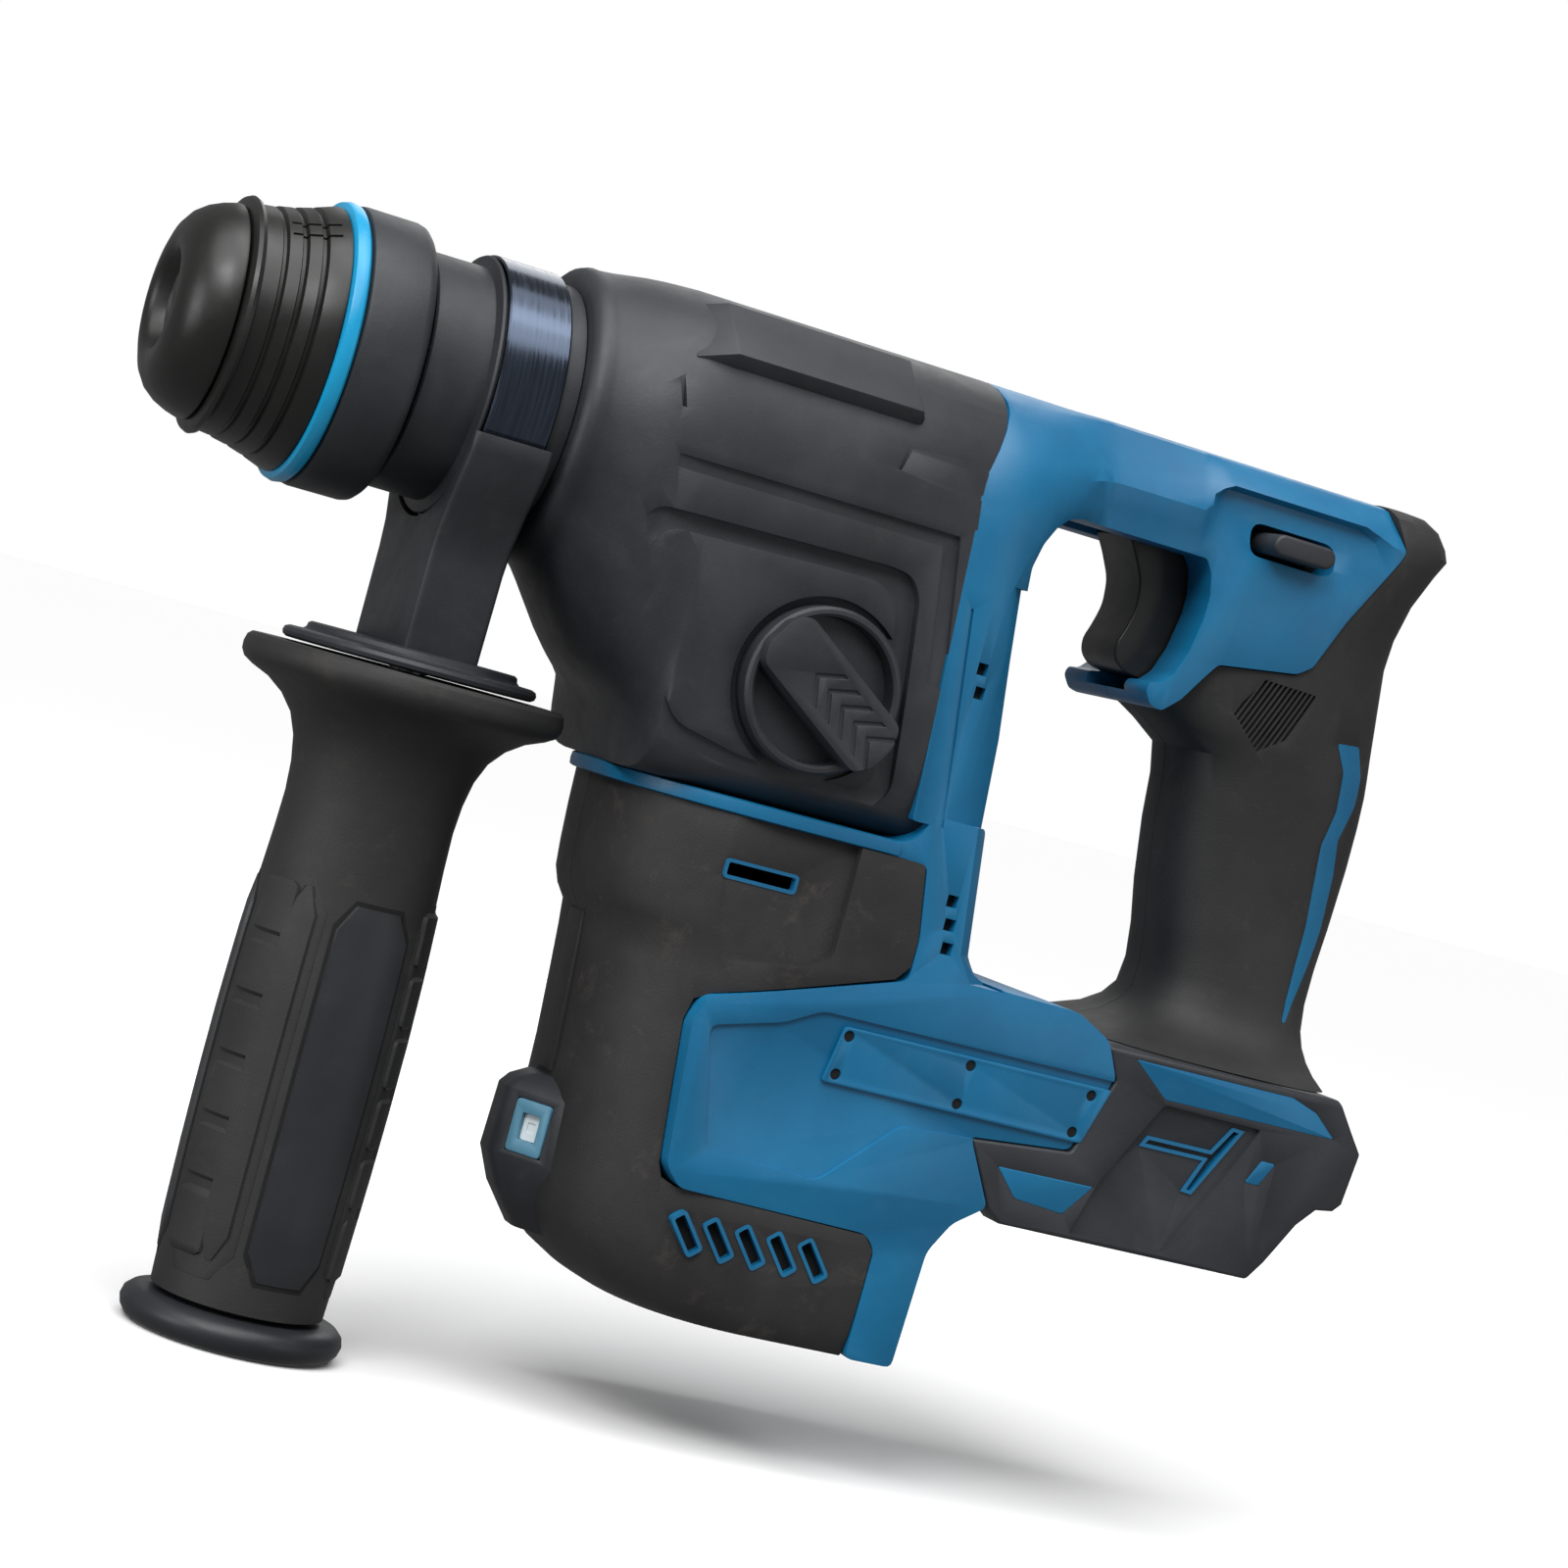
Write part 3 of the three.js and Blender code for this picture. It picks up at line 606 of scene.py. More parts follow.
def build_rim():
    def ring(z, grow):
        return plan_ring(z, 52.4 - grow, 141, BODY_HALF + grow, 2.6, 14)
    rim = loft("coloured_rim", [ring(-70.2, -0.2), ring(-69.9, 0.3), ring(-68.6, 0.45), ring(-67.3, 0.3),
                                ring(-67.05, -0.2)])
    combine(rim, plate("rim_end", [(111, -90), (200, -90), (200, -50), (111, -50)], -60, 60))
    finish(rim, "blue", "body", ["housing_rim"])


# ---------------------------------------------------------------- handle shells
def handle_section(x):
    """Section of the upper shell: round by the gear housing, faceted along the bar, then pocketed."""
    round_top = [(BODY_HALF * power(math.sin(math.radians(10 * i)), 2 / 2.2),
                  TOP_Z * math.cos(math.radians(10 * i)) ** (2 / 2.2)) for i in range(10)]
    facet = [(0, 33.4), (6, 33.3), (11.6, 33.0), (14.0, 32.2), (16.3, 29.0), (18.6, 25.8), (20.9, 22.6),
             (23, 19.6), (22.4, 15), (21.2, 10)]
    pocket = [(0, 33.4), (6, 33.3), (11.6, 33.0), (14.0, 32.2), (16.2, 30.4), (18.4, 28.6), (20.6, 26.9),
              (17.6, 26.0), (18.6, 20.8), (20.5, 15.2)]
    closed = [(0, 33.4), (6, 33.3), (11.6, 33.0), (14.0, 32.2), (16.4, 29.4), (18.6, 26.8), (20.3, 24.4),
              (20.4, 22.0), (20.5, 18.5), (20.5, 15.2)]

    def eased(value, start, end):
        t = min(1, max(0, (value - start) / (end - start)))
        return t * t * (3 - 2 * t)
    a, b, c = eased(x, 117, 146), eased(x, 166.5, 173.5), eased(x, 208, 216.5)
    half = []
    for r, f, p, e in zip(round_top, facet, pocket, closed):
        y, z = r[0] + (f[0] - r[0]) * a, r[1] + (f[1] - r[1]) * a
        y, z = y + (p[0] - y) * b, z + (p[1] - z) * b
        half.append((y + (e[0] - y) * c, z + (e[1] - z) * c))
    wide = 37 + (20.5 - 37) * a
    half += [(wide, -12), (wide, -72)]
    return [(x, y, z) for y, z in half] + [(x, -y, z) for y, z in reversed(half[1:])]


def build_handle_shells():
    upper = loft("handle_upper", [handle_section(x) for x in (100, 117, 120, 124, 128, 132, 136, 140, 143,
                                                              146,
                                                              156, 166.5, 169, 171, 173.5, 190, 208, 212,
                                                              216.5, 232)])
    top_outline = [(115.2, 60), (215.4, 60), (215.6, 33.4), (219.6, 24), (218.8, 21.9), (209.4, 5.3),
                   (204.1, -6.6),
                   (200.7, -8.9), (181.1, -11.8), (178.8, -14.9), (174.4, -21.4), (170.4, -25.0),
                   (167.4, -24.4),
                   (165.4, -21.6), (166.0, -19.6), (168.4, -19.4), (171.0, -16.8), (173.2, -11),
                   (174.6, -3), (174.6, 2),
                   (173.4, 7), (171.4, 9.8), (138, 9.8), (133.2, 8.6), (129.4, 5.8), (126.4, 1.6),
                   (124.6, -4),
                   (127.4, -25), (132.4, -62), (112, -62), (107.7, 10), (115.2, 28)]
    combine(upper, plate("upper_trim", round_corners(top_outline, 0.8, 2), -60, 60), "INTERSECT")
    low_outline = [(116.9, -60), (132.2, -60), (136.2, -88), (139, -91), (143.5, -92.2), (162, -92.6),
                   (171, -97),
                   (175, -105), (169, -122), (145, -124), (153, -138), (146, -143), (142, -150),
                   (141, -175.8),
                   (129.9, -175.8), (129.9, -152), (127, -149), (83, -148), (79, -144), (76, -114),
                   (78, -108),
                   (121, -95), (121, -86), (118.2, -70.4), (108, -70.1), (108, -67.3), (112, -66.9),
                   (115, -64.6)]
    lower = plate("handle_lower", round_corners(low_outline, 1.6, 3), -BODY_HALF, BODY_HALF)
    combine(upper, lower, "UNION")

    # the rails behind the housing have their rear corners planed off
    for sign in (-1, 1):
        def wedge(x, z):
            return [(x - 5.2, sign * 37.3, z), (x + 3, sign * 37.3, z), (x + 3, sign * 27.6, z),
                    (x + 0.4, sign * 29.8, z)]
        combine(upper, loft("rail_plane", [wedge(125.4, -9), wedge(127.2, -24), wedge(136.1, -87),
                                           wedge(140, -92.5)]))

    basin = [(80, -113.6), (86.4, -139), (112.8, -140.3), (128.5, -125), (168, -123.4), (172, -121),
             (177, -105.3),
             (104, -105.3), (96, -109.5)]
    combine(upper, side_cut("panel_recess", round_corners(basin, 2, 4), 0.9))
    line = [(112.2, -16), (112.8, -16), (119.4, -62), (118.8, -62)]
    combine(upper, side_cut("rail_line", line, 0.5))
    squares = [(118.6, -27.6), (119.4, -32.6), (126.0, -76.4), (126.8, -81.4), (127.6, -86.4)]
    wells = [side_cut("vent_cut", cap_outline(x - 1.3, x + 1.3, z - 1.3, z + 1.3), 3.6) for x, z in squares]
    combine(upper, joined("vent_cuts", wells))
    bay = plate("trigger_cut", cap_outline(140, 193, -22.4, 13.3), -9.6, 9.6)
    combine(upper, bay)
    slot = round_corners(cap_outline(180.6, 202.8, 13.4, 20.8), 3.6, 6)
    combine(upper, plate("lever_cut", slot, -60, 60))
    rounded(upper, 0.45, 2, 40)
    low_corner, high_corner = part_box("reverse_lever")
    # a near-black liner round the reverse button's opening: painted shade inside the slot
    slot_shade = plate("lever_slot_painted_shade", round_corners(cap_outline(180, 203.4, 12.8, 21.4), 3.8, 6), -12.5, 12.5)
    opening = cap_outline(low_corner.x / MM - 0.4, high_corner.x / MM + 0.4, low_corner.z / MM - 0.4,
                          high_corner.z / MM + 0.4)
    combine(slot_shade, plate("opening", opening, -30, 30))
    finish(slot_shade, "shadow")
    for half, node in zip(halves(upper, "blue_shell"), ("handle_shell_left", "handle_shell_right")):
        finish(half, "blue", "body", [node])
    # near-black sheets behind the square vents: painted shade in the vent wells
    shade_sheets = [plate("back", cap_outline(x - 1.25, x + 1.25, z - 1.25, z + 1.25), side * 34.4 - 0.3,
                   side * 34.4 + 0.3)
             for x, z in squares for side in (-1, 1)]
    finish(joined("vent_shade_sheets_handle", shade_sheets), "shadow")


# ---------------------------------------------------------------- motor housing
def vent_outline(x, z, wide, high, lean, corner):
    """A rounded slot outline about (x, z), leaning forward at the top by lean degrees."""
    turn = math.radians(lean)
    points = round_corners(cap_outline(-wide / 2, wide / 2, -high / 2, high / 2), corner, 3)
    return [(x + px * math.cos(turn) - pz * math.sin(turn), z + px * math.sin(turn) + pz * math.cos(turn))
            for px, pz in points]


def framed_vent(name, x, z, wide, high, lean, half=BODY_HALF, rim=0.75, side=-1):
    """A vent's coloured frame and a dark sheet behind it that paints the shade in the vent, let into one
    side of the motor housing.
    """
    outer = vent_outline(x, z, wide + 2 * rim, high + 2 * rim, lean, 1.0)
    inner = vent_outline(x, z, wide, high, lean, 0.5)
    low, high_y = sorted((side * (half - 1.8), side * (half + 0.2)))
    border = plate(name, outer, low, high_y)
    combine(border, plate("opening", inner, low - 2, high_y + 2))
    # the sheet behind the opening is painted shade
    back_low, back_high = sorted((side * (half - 3.0), side * (half - 2.4)))
    return border, plate("back", outer, back_low, back_high)


VENTS = [(87.3 + 7.35 * i, -157.0, 2.4, 8.2, 39) for i in range(5)] + [(83.3, -81.4, 15.4, 2.7, 0)]


def build_motor_covers():
    stations = [(-70.3, 53.6, 37.0), (-78, 53.9, 37.0), (-86, 54.4, 37.0), (-92, 55.0, 37.0),
                (-95.5, 56.4, 37.0),
                (-98.5, 58.6, 37.0), (-104, 59.2, 37.0), (-114, 60.0, 37.0), (-128, 61.0, 37.0),
                (-140, 61.4, 37.0),
                (-152, 61.6, 37.0), (-160, 62.4, 37.0), (-166, 65.4, 36.8), (-171, 70.4, 36.4),
                (-174.4, 76.6, 35.6),
                (-175.8, 80.6, 34.8)]
    cover = loft("motor_cover", [plan_ring(z, front, 140, half, 2.5, 14) for z, front, half in stations])
    outline = [(40, -70.3), (117.8, -70.3), (120.7, -86), (120.7, -92), (118, -95.2), (80, -107.2),
               (76.6, -109.4), (75.7, -114), (78.7, -144.2), (79.8, -147), (82.8, -148.2), (127, -149.3),
               (129.6, -152.2),
               (129.6, -175.8), (40, -175.8)]
    combine(cover, plate("cover_trim", outline, -60, 60), "INTERSECT")
    step = round_corners([(30, -60), (102.8, -60), (102.8, -94), (99.5, -97), (62, -102.4), (30, -102.4)],
                         3.0, 5)
    combine(cover, side_cut("cover_recess", step, 2.6))
    wells = [side_cut("vent_well", vent_outline(x, z, w + 1.5, h + 1.5, lean, 1.0), 5.0) for x, z, w, h,
             lean in VENTS]
    combine(cover, joined("vent_wells", wells))
    rounded(cover, 0.9, 3, 40)
    for half, node in zip(halves(cover, "motor_boot"), ("motor_cover_left", "motor_cover_right")):
        finish(half, "boot", "body", [node])
    spine = loft("boot_spine", [[(58.4, -4.4, -99), (64, -4.4, -99), (64, 4.4, -99), (58.4, 4.4, -99)],
                                [(60.6, -4.4, -134), (66, -4.4, -134), (66, 4.4, -134), (60.6, 4.4, -134)]])
    rounded(spine, 0.5, 2, 40)
    finish(spine, "boot")
    for side, sign in (("left", -1), ("right", 1)):
        # each vent comes with its frame and a near-black sheet of painted shade
        borders, shade_sheets = zip(*[framed_vent("frame", *vent, BODY_HALF if vent[1] < -100 else BODY_HALF - 2.6,
                                           side=sign) for vent in VENTS])
        finish(joined(f"vent_frames_{side}", list(borders)), "blue")
        finish(joined(f"vent_shade_sheets_{side}", list(shade_sheets)), "shadow")


def build_led_pod():
    def ring(z, front, corner, back):
        outline = [(front, -3.5), (front + 11, -corner), (back, -corner - 9), (back, corner + 9),
                   (front + 11, corner), (front, 3.5)]
        return [(x, y, z) for x, y in round_corners(outline, 1.6, 4)]
    pod = loft("lamp_pod", [ring(-134.8, 58.4, 12, 74), ring(-136.8, 54.6, 13.6, 74),
                            ring(-139, 52.8, 14.4, 74),
                            ring(-153, 52.4, 14.6, 74), ring(-160, 55.8, 13.6, 74),
                            ring(-168, 62.4, 12.4, 74)])
    places = {}
    for side, sign in (("left", -1), ("right", 1)):
        spot = Vector((58.0, sign * 8.9, -146.2)) * MM
        turn = Matrix.Rotation(-math.radians(90 + sign * 44), 4, "Z")
        places[side] = Matrix.Translation(spot) @ turn
        well = plate("lens_well", cap_outline(-4.3, 4.3, -5.8, 5.8), -4, 3)
        well.matrix_world = places[side]
        combine(pod, settled(well))
    rounded(pod, 0.5, 2, 30)
    finish(pod, "nylon", "body", ["led_pod"])
    for side, place in places.items():
        border = plate(f"lamp_frame_{side}", round_corners(cap_outline(-4.2, 4.2, -5.7, 5.7), 0.9, 3), -0.5,
                       2.4)
        combine(border, plate("hole", cap_outline(-2.1, 2.1, -2.9, 2.9), -4, 4))
        rounded(border, 0.3, 2, 40)
        border.matrix_world = place
        finish(settled(border), "pale")
        window = plate(f"lamp_window_{side}", round_corners(cap_outline(-2.0, 2.0, -2.8, 2.8), 0.5, 3), 0.9,
                       2.3)
        combine(window, plate("chip", cap_outline(-0.9, 0.9, -1.1, 1.1), 0.2, 1.2))
        window.matrix_world = place
        finish(settled(window), "lens", "body", [f"led_lens_{side}"])


# ---------------------------------------------------------------- rear grip and foot
def build_rear_grip():
    stations = [(33.5, 214, 226.5, 11.5), (33.1, 212, 230.0, 14.0), (31.2, 200, 234.0, 17.5),
                (28.0, 195, 236.8, 19.0),
                (25.4, 190, 238.0, 20.0), (21.5, 185, 235.8, 20.6), (13.5, 175, 232.4, 20.6),
                (5.0, 168, 230.6, 20.3),
                (-2, 165, 230.4, 20.0), (-12, 163, 232.0, 19.5), (-22, 168, 233.4, 18.8),
                (-27, 178, 233.9, 18.4),
                (-31, 184.4, 234.3, 18.0), (-38, 186.0, 234.7, 17.7), (-48, 186.9, 234.8, 17.5),
                (-62, 189.2, 234.2, 17.5),
                (-72, 191.6, 233.4, 17.6), (-80, 192.8, 233.2, 17.9), (-86, 192.4, 233.8, 18.8),
                (-89.5, 190, 234.8, 20.6),
                (-92.5, 186, 236.0, 24.0), (-95, 180, 237.2, 29.0), (-97.4, 173, 238.6, 36.0)]
    grip = loft("grip_form", [plan_ring(z, front, back, half, 2.8, 2.6) for z, front, back,
                              half in stations])
    outline = [(215.7, 60), (215.9, 33.4), (219.9, 24.1), (219.1, 21.8), (209.7, 5.2), (204.4, -6.8),
               (200.8, -9.2),
               (181.0, -12.1), (178.6, -15.1), (174.3, -21.7), (170.6, -25.3), (160, -30), (160, -98),
               (260, -98), (260, 60)]
    combine(grip, plate("grip_trim", outline, -60, 60), "INTERSECT")
    pentagon = [(188.7, -20.8), (194.1, -12.0), (207.6, -12.3), (208.4, -20.3), (197.4, -27.8)]
    hatch = []
    for i in range(14):
        at = -14 + 1.75 * i
        line = [(192 + at * 0.75, -34), (192.8 + at * 0.75, -34), (203.8 + at * 0.75, -6),
                (203 + at * 0.75, -6)]
        hatch.append(plate("hatch", line, -25, 25))
    field = joined("hatch_cuts", hatch)
    combine(field, plate("hatch_field", pentagon, -24, 24), "INTERSECT")
    combine(field, plate("hatch_core", cap_outline(150, 240, -60, 20), -17.2, 17.2))
    combine(grip, field)
    bay = plate("switch_cut", cap_outline(150, 193, -22.4, 13.3), -9.6, 9.6)
    combine(grip, bay)
    flash = round_corners([(217.2, -21), (224.2, -20.4), (227.3, -27), (227.6, -33.5), (224.9, -42),
                           (226.7, -50),
                           (227.6, -63), (226.6, -71), (223.2, -84.8), (222.2, -84.8), (222.4, -63),
                           (220.4, -44),
                           (222, -36), (221, -27)], 0.8, 3)
    combine(grip, joined("flash_cuts", [plate("flash", flash, 9, 30), plate("flash", flash, -30, -9)]))
    rounded(grip, 0.35, 2, 40)
    for half, node in zip(halves(grip, "rear_grip"), ("grip_cover_left", "grip_cover_right")):
        finish(half, "rubber", "body", [node])

    for side, low, high in (("left", -30, -8.6), ("right", 8.6, 30)):
        insert = plate(f"grip_flash_{side}", flash, low, high)
        form = loft("flash_form", [plan_ring(z, front, back, half + 0.1, 2.8, 2.6) for z, front, back,
                                   half in stations])
        combine(insert, form, "INTERSECT")
        finish(insert, "blue")


def build_foot():
    outline = [(172.2, -97.6), (231, -97.6), (235.8, -103.8), (239.4, -108.2), (238.2, -120.0),
               (236.4, -121.9),
               (232.2, -122.5), (228.3, -126.7), (222.8, -136.4), (219.6, -140.8), (157, -140.8),
               (153.4, -138),
               (145.4, -124.3), (169.2, -122.3), (175.3, -105), (171.4, -97.8)]
    foot = plate("foot_form", outline, -BODY_HALF, BODY_HALF)
    slot = plate("rail_cut", cap_outline(130, 270, -150, -127.2), -27.9, 27.9)
    combine(foot, slot)
    # the top edges lean in towards the grip
    for sign in (-1, 1):
        edge = [(150, sign * 38, -96), (150, sign * 38, -99.5), (150, sign * 34.4, -96)]
        combine(foot, loft("top_plane", [edge, [(260, y, z) for _, y, z in edge]]))
    rounded(foot, 1.2, 3, 40)
    ledge = [(188.2, -107.6), (213.3, -108.0), (197.4, -139.6), (173.6, -139.6), (177.6, -127)]
    combine(foot, side_cut("foot_step", round_corners(ledge, 1.0, 3), 1.3))
    shapes = {
        "foot_flash_upper": [(178.6, -99.4), (218.8, -99.4), (225.6, -101.5), (231.6, -106.3),
                             (188.0, -106.5)],
        "foot_flash_lower": [(152.9, -128.7), (176.6, -128.5), (170.9, -135.7), (158.8, -134.7)],
        "foot_flash_small": [(215.3, -114.5), (219.0, -114.6), (216.0, -120.1), (212.5, -120.0)],
    }
    for name, points in shapes.items():
        combine(foot, side_cut("inset", points, 1.8))
    tee = [(185.2, -117.6), (186.6, -115), (202.8, -115), (206.6, -109), (209.8, -109.2), (200.9, -125.4),
           (198.2, -125.2), (201.4, -117.6)]
    core = [(186.5, -116.8), (187.2, -115.8), (203.2, -115.8), (207.1, -109.8), (208.5, -109.9),
            (200.5, -124.6),
            (199.4, -124.5), (202.6, -116.8)]
    combine(foot, side_cut("tee", tee, 3.0))
    rounded(foot, 0.3, 2, 50)
    for half, node in zip(halves(foot, "foot_shell"), ("foot_cover_left", "foot_cover_right")):
        finish(half, "nylon", "body", [node])
    for side, sign in (("left", -1), ("right", 1)):
        for name, points in shapes.items():
            low, high = sorted((sign * (BODY_HALF - 1.7), sign * (BODY_HALF + 0.1)))
            insert = plate(f"{name}_{side}", round_corners(points, 0.5, 2), low, high)
            rounded(insert, 0.25, 2, 40)
            finish(insert, "blue")
        low, high = sorted((sign * (BODY_HALF - 2.9), sign * (BODY_HALF - 0.9)))
        frame_piece = plate(f"foot_tee_frame_{side}", tee, low, high)
        combine(frame_piece, plate("core", core, low - 1, high + 1))
        finish(frame_piece, "blue")


# ---------------------------------------------------------------- controls and small parts
def build_knob():
    face = -BODY_HALF
    disc = [(0, face + 2.2), (17.5, face + 2.2), (17.5, face - 2.9), (16.9, face - 3.6), (16.1, face - 3.7),
            (15.5, face - 3.3), (15.2, face + 0.8), (0, face + 0.9)]
    knob = spun("knob_dial", disc, Y_AXIS, (KNOB_X, 0, KNOB_Z), 96)
    bar_outline = round_corners([(-17.0, -3.6), (-14.6, -7), (15.8, -7), (18.2, -3.0), (18.2, 3.0),
                                 (15.8, 7),
                                 (-14.6, 7), (-17.0, 3.6)], 1.5, 4)
    bar = plate("bar", bar_outline, -7.2, 1.2)
    chevrons = []
    for i in range(5):
        at = -5.5 + 4.4 * i
        vee = [(at, 0), (at + 4.6, 4.6), (at + 5.9, 4.6), (at + 1.3, 0), (at + 5.9, -4.6), (at + 4.6, -4.6)]
        chevrons.append(plate("vee", vee, -9, -6.7))
    combine(bar, joined("vees", chevrons))
    rounded(bar, 0.3, 2, 40)
    bar.matrix_world = Matrix.Translation(Vector((KNOB_X, face, KNOB_Z)) * MM) @ Matrix.Rotation(
        math.radians(34), 4, "Y")
    combine(knob, settled(bar), "UNION")
    finish(knob, "nylon", "knob", ["mode_knob"])


def build_trigger():
    front = [(157.2, 11.5), (160.4, 6.8), (163.4, 1.2), (164.0, -4.6), (162.8, -9.4), (161.4, -13.2),
             (162.0, -16.4),
             (164.6, -18.6), (169, -19.3), (174, -19.0), (178, -14), (182, -11.5), (182, 11.5)]
    lever = plate("trigger_lever", round_corners(front, 2.0, 4), -8.7, 8.7)
    rounded(lever, 3.2, 5, 50)
    finish(lever, "gloss", "trigger", ["trigger"])


def build_lever():
    pill = arc(186, 17, 2.4, 90, 270, 10) + arc(197, 17, 2.4, -90, 90, 10)
    rod = plate("reverse_button", pill, -26.4, 26.4)
    rounded(rod, 0.8, 3, 50)
    finish(rod, "nylon", "reverse", ["reverse_lever"])


def build_name_plate():
    outline = [(107.6, -119.6), (170.6, -120.0), (174.8, -107.3), (109.8, -107.3)]
    low, high = -BODY_HALF - 0.15, -BODY_HALF + 0.8
    blank = plate("name_plate_blank", round_corners(outline, 0.8, 3), low, high)
    holes = [(111.2, -109.2), (110.4, -117.6), (140.4, -109.2), (139.6, -117.8), (170.2, -109.4),
             (168.0, -118.0)]
    pins = [spun("hole", [(0, low - 2), (1.2, low - 2), (1.2, low + 0.7), (0, low + 0.7)], Y_AXIS,
                 (x, 0, z), 20)
            for x, z in holes]
    combine(blank, joined("holes", pins))
    rounded(blank, 0.25, 2, 40)
    finish(blank, "blue", "body", ["name_plate"])
    # near-black discs at the bottom of the holes: painted shade inside them
    hole_shades = [spun("hole_shade", [(0, low + 0.45), (1.1, low + 0.45), (1.1, low + 0.68), (0, low + 0.68)], Y_AXIS,
                 (x, 0, z), 20)
            for x, z in holes]
    finish(joined("name_plate_hole_shade", hole_shades), "shadow")


def build_screws():
    radius = bpy.context.scene.hammer_sizes.screw_radius / MM
    heads = sorted(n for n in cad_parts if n.startswith("screw_"))
    for node in heads:
        low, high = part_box(node)
        middle = (low + high) / 2 / MM
        # the two screws in the rail sit on its flat, clear of the planed corner
        if 110 < middle.x < 130 and middle.z > -70:
            middle.x -= 3.0 if middle.z > -30 else 5.5
        face, top = low.y / MM, high.y / MM
        dome = [(0, face), (radius, face), (radius, top - 0.5), (radius - 0.4, top - 0.1), (1.4, top),
                (0, top)]
        head = spun(f"{node}_head", dome, Y_AXIS, (middle.x, 0, middle.z), 28)
        star = [(middle.x + r * math.cos(math.pi * k / 6), middle.z + r * math.sin(math.pi * k / 6))
                for k, r in enumerate([1.4, 0.9] * 6)]
        combine(head, plate("drive", star, top - 0.8, top + 2))
        finish(head, "zinc", "body", [node])


def dress_inner_nodes():
    """The working parts inside keep their own solids and take the finish of their metal or plastic."""
    finishes = {"motor_stator": "copper", "control_board": "board", "terminal_left": "brass",
                "terminal_right": "brass", "switch_box": "nylon", "terminal_block": "nylon",
                "motor_fan": "nylon"}
    for name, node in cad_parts.items():
        node.data.materials.clear()
        node.data.materials.append(FINISH[finishes.get(name, "steel")])


# ---------------------------------------------------------------- stage
FLOOR_GAP = 0.0002       # metres the floor lies below the lowest piece, so that the two do not flicker
BACKDROP_STRENGTH = 1.0  # how bright the background looks to the camera
AMBIENT_STRENGTH = 0.24  # how much light it sheds on the tool
SUN_STRENGTH = 2.8
SUN_SPREAD = 70          # degrees; a wide sun is as soft as an overcast sky
LAMPS = [                # name, place from the tool's middle in metres, size in metres, power in watts
    ("key_softbox", (-0.8, -0.95, 0.95), 0.5, 7.0),
    ("fill_softbox", (1.0, -1.2, 0.15), 0.7, 1.6),
    ("front_softbox", (-1.3, -0.35, 0.1), 0.5, 4.5),
    ("top_softbox", (0.1, -0.15, 1.2), 0.8, 3.0),
    ("back_softbox", (0.5, 1.1, 0.8), 0.8, 3.0),
]


def aim_lamp(lamp, middle, offset):
    """Puts a lamp into the scene at an offset from the tool's middle, facing the middle."""
    holder = bpy.data.objects.new(lamp.name, lamp)
    bpy.context.collection.objects.link(holder)
    holder.location = middle + Vector(offset)
    holder.rotation_euler = (middle - holder.location).to_track_quat("-Z", "Y").to_euler()


def build_stage():
    """A pale floor that sheds no light of its own, a plain bright background and soft lamps."""
    floor_z = CAD_BOX[0][2] - FLOOR_GAP
    width = bpy.context.scene.hammer_sizes.floor_width
    clear_selection()
    bpy.ops.mesh.primitive_plane_add(size=1)
    floor = bpy.context.object
    floor.name = "stage_floor"
    for vertex in floor.data.vertices:
        vertex.co = (vertex.co.x * width, vertex.co.y * width, floor_z)
    paper = bpy.data.materials.new("white_backdrop_paper")
    paper.use_nodes = True
    paper.node_tree.nodes["Principled BSDF"].inputs["Base Color"].default_value = linear("#FAFAFA")
    paper.node_tree.nodes["Principled BSDF"].inputs["Roughness"].default_value = 1.0
    paper.node_tree.nodes["Principled BSDF"].inputs["Specular IOR Level"].default_value = 0.0
    floor.data.materials.append(paper)
    floor.visible_diffuse = False
    floor.visible_glossy = False

    bpy.context.scene.view_settings.view_transform = "Standard"
    world = bpy.context.scene.world or bpy.data.worlds.new("studio")
    bpy.context.scene.world = world
    world.use_nodes = True
    tree = world.node_tree
    path = add_node(tree, "ShaderNodeLightPath")
    strength = add_node(tree, "ShaderNodeMapRange", {"Value": path.outputs["Is Camera Ray"],
                                                     "To Min": AMBIENT_STRENGTH,
                                                     "To Max": BACKDROP_STRENGTH})
    tree.nodes["Background"].inputs["Color"].default_value = linear("#FFFFFF")
    tree.links.new(strength.outputs["Result"], tree.nodes["Background"].inputs["Strength"])

    middle = Vector((92, 0, -60)) * MM
    sun = bpy.data.lights.new("sky_panel", "SUN")
    sun.energy = SUN_STRENGTH
    sun.angle = math.radians(SUN_SPREAD)
    aim_lamp(sun, middle, (-0.4, -0.8, 1.6))
    for name, offset, size, watts in LAMPS:
        lamp = bpy.data.lights.new(name, "AREA")
        lamp.size = size
        lamp.energy = watts
        aim_lamp(lamp, middle, offset)


def build_camera():
    """A level 90 mm view from ahead of the left side, rolled so the nose points up."""
    yaw, pitch, roll = (math.radians(a) for a in (22.775, 0.794, 15.33))
    aim = Vector((86.86, -24.67, -61.81)) * MM
    sizes = bpy.context.scene.hammer_sizes
    level = Vector((math.sin(yaw), math.cos(yaw), 0))
    across = Vector((math.cos(yaw), -math.sin(yaw), 0))
    forward = level * math.cos(pitch) - UP * math.sin(pitch)
    upward = UP * math.cos(pitch) + level * math.sin(pitch)
    right = across * math.cos(roll) + upward * math.sin(roll)
    top = upward * math.cos(roll) - across * math.sin(roll)
    data = bpy.data.cameras.new("camera")
    data.lens = sizes.camera_lens
    data.sensor_width = 36
    camera = bpy.data.objects.new("camera", data)
    bpy.context.collection.objects.link(camera)
    turn = Matrix((right, top, -forward)).transposed().to_4x4()
    camera.matrix_world = Matrix.Translation(aim - forward * sizes.camera_distance) @ turn
    bpy.context.scene.camera = camera


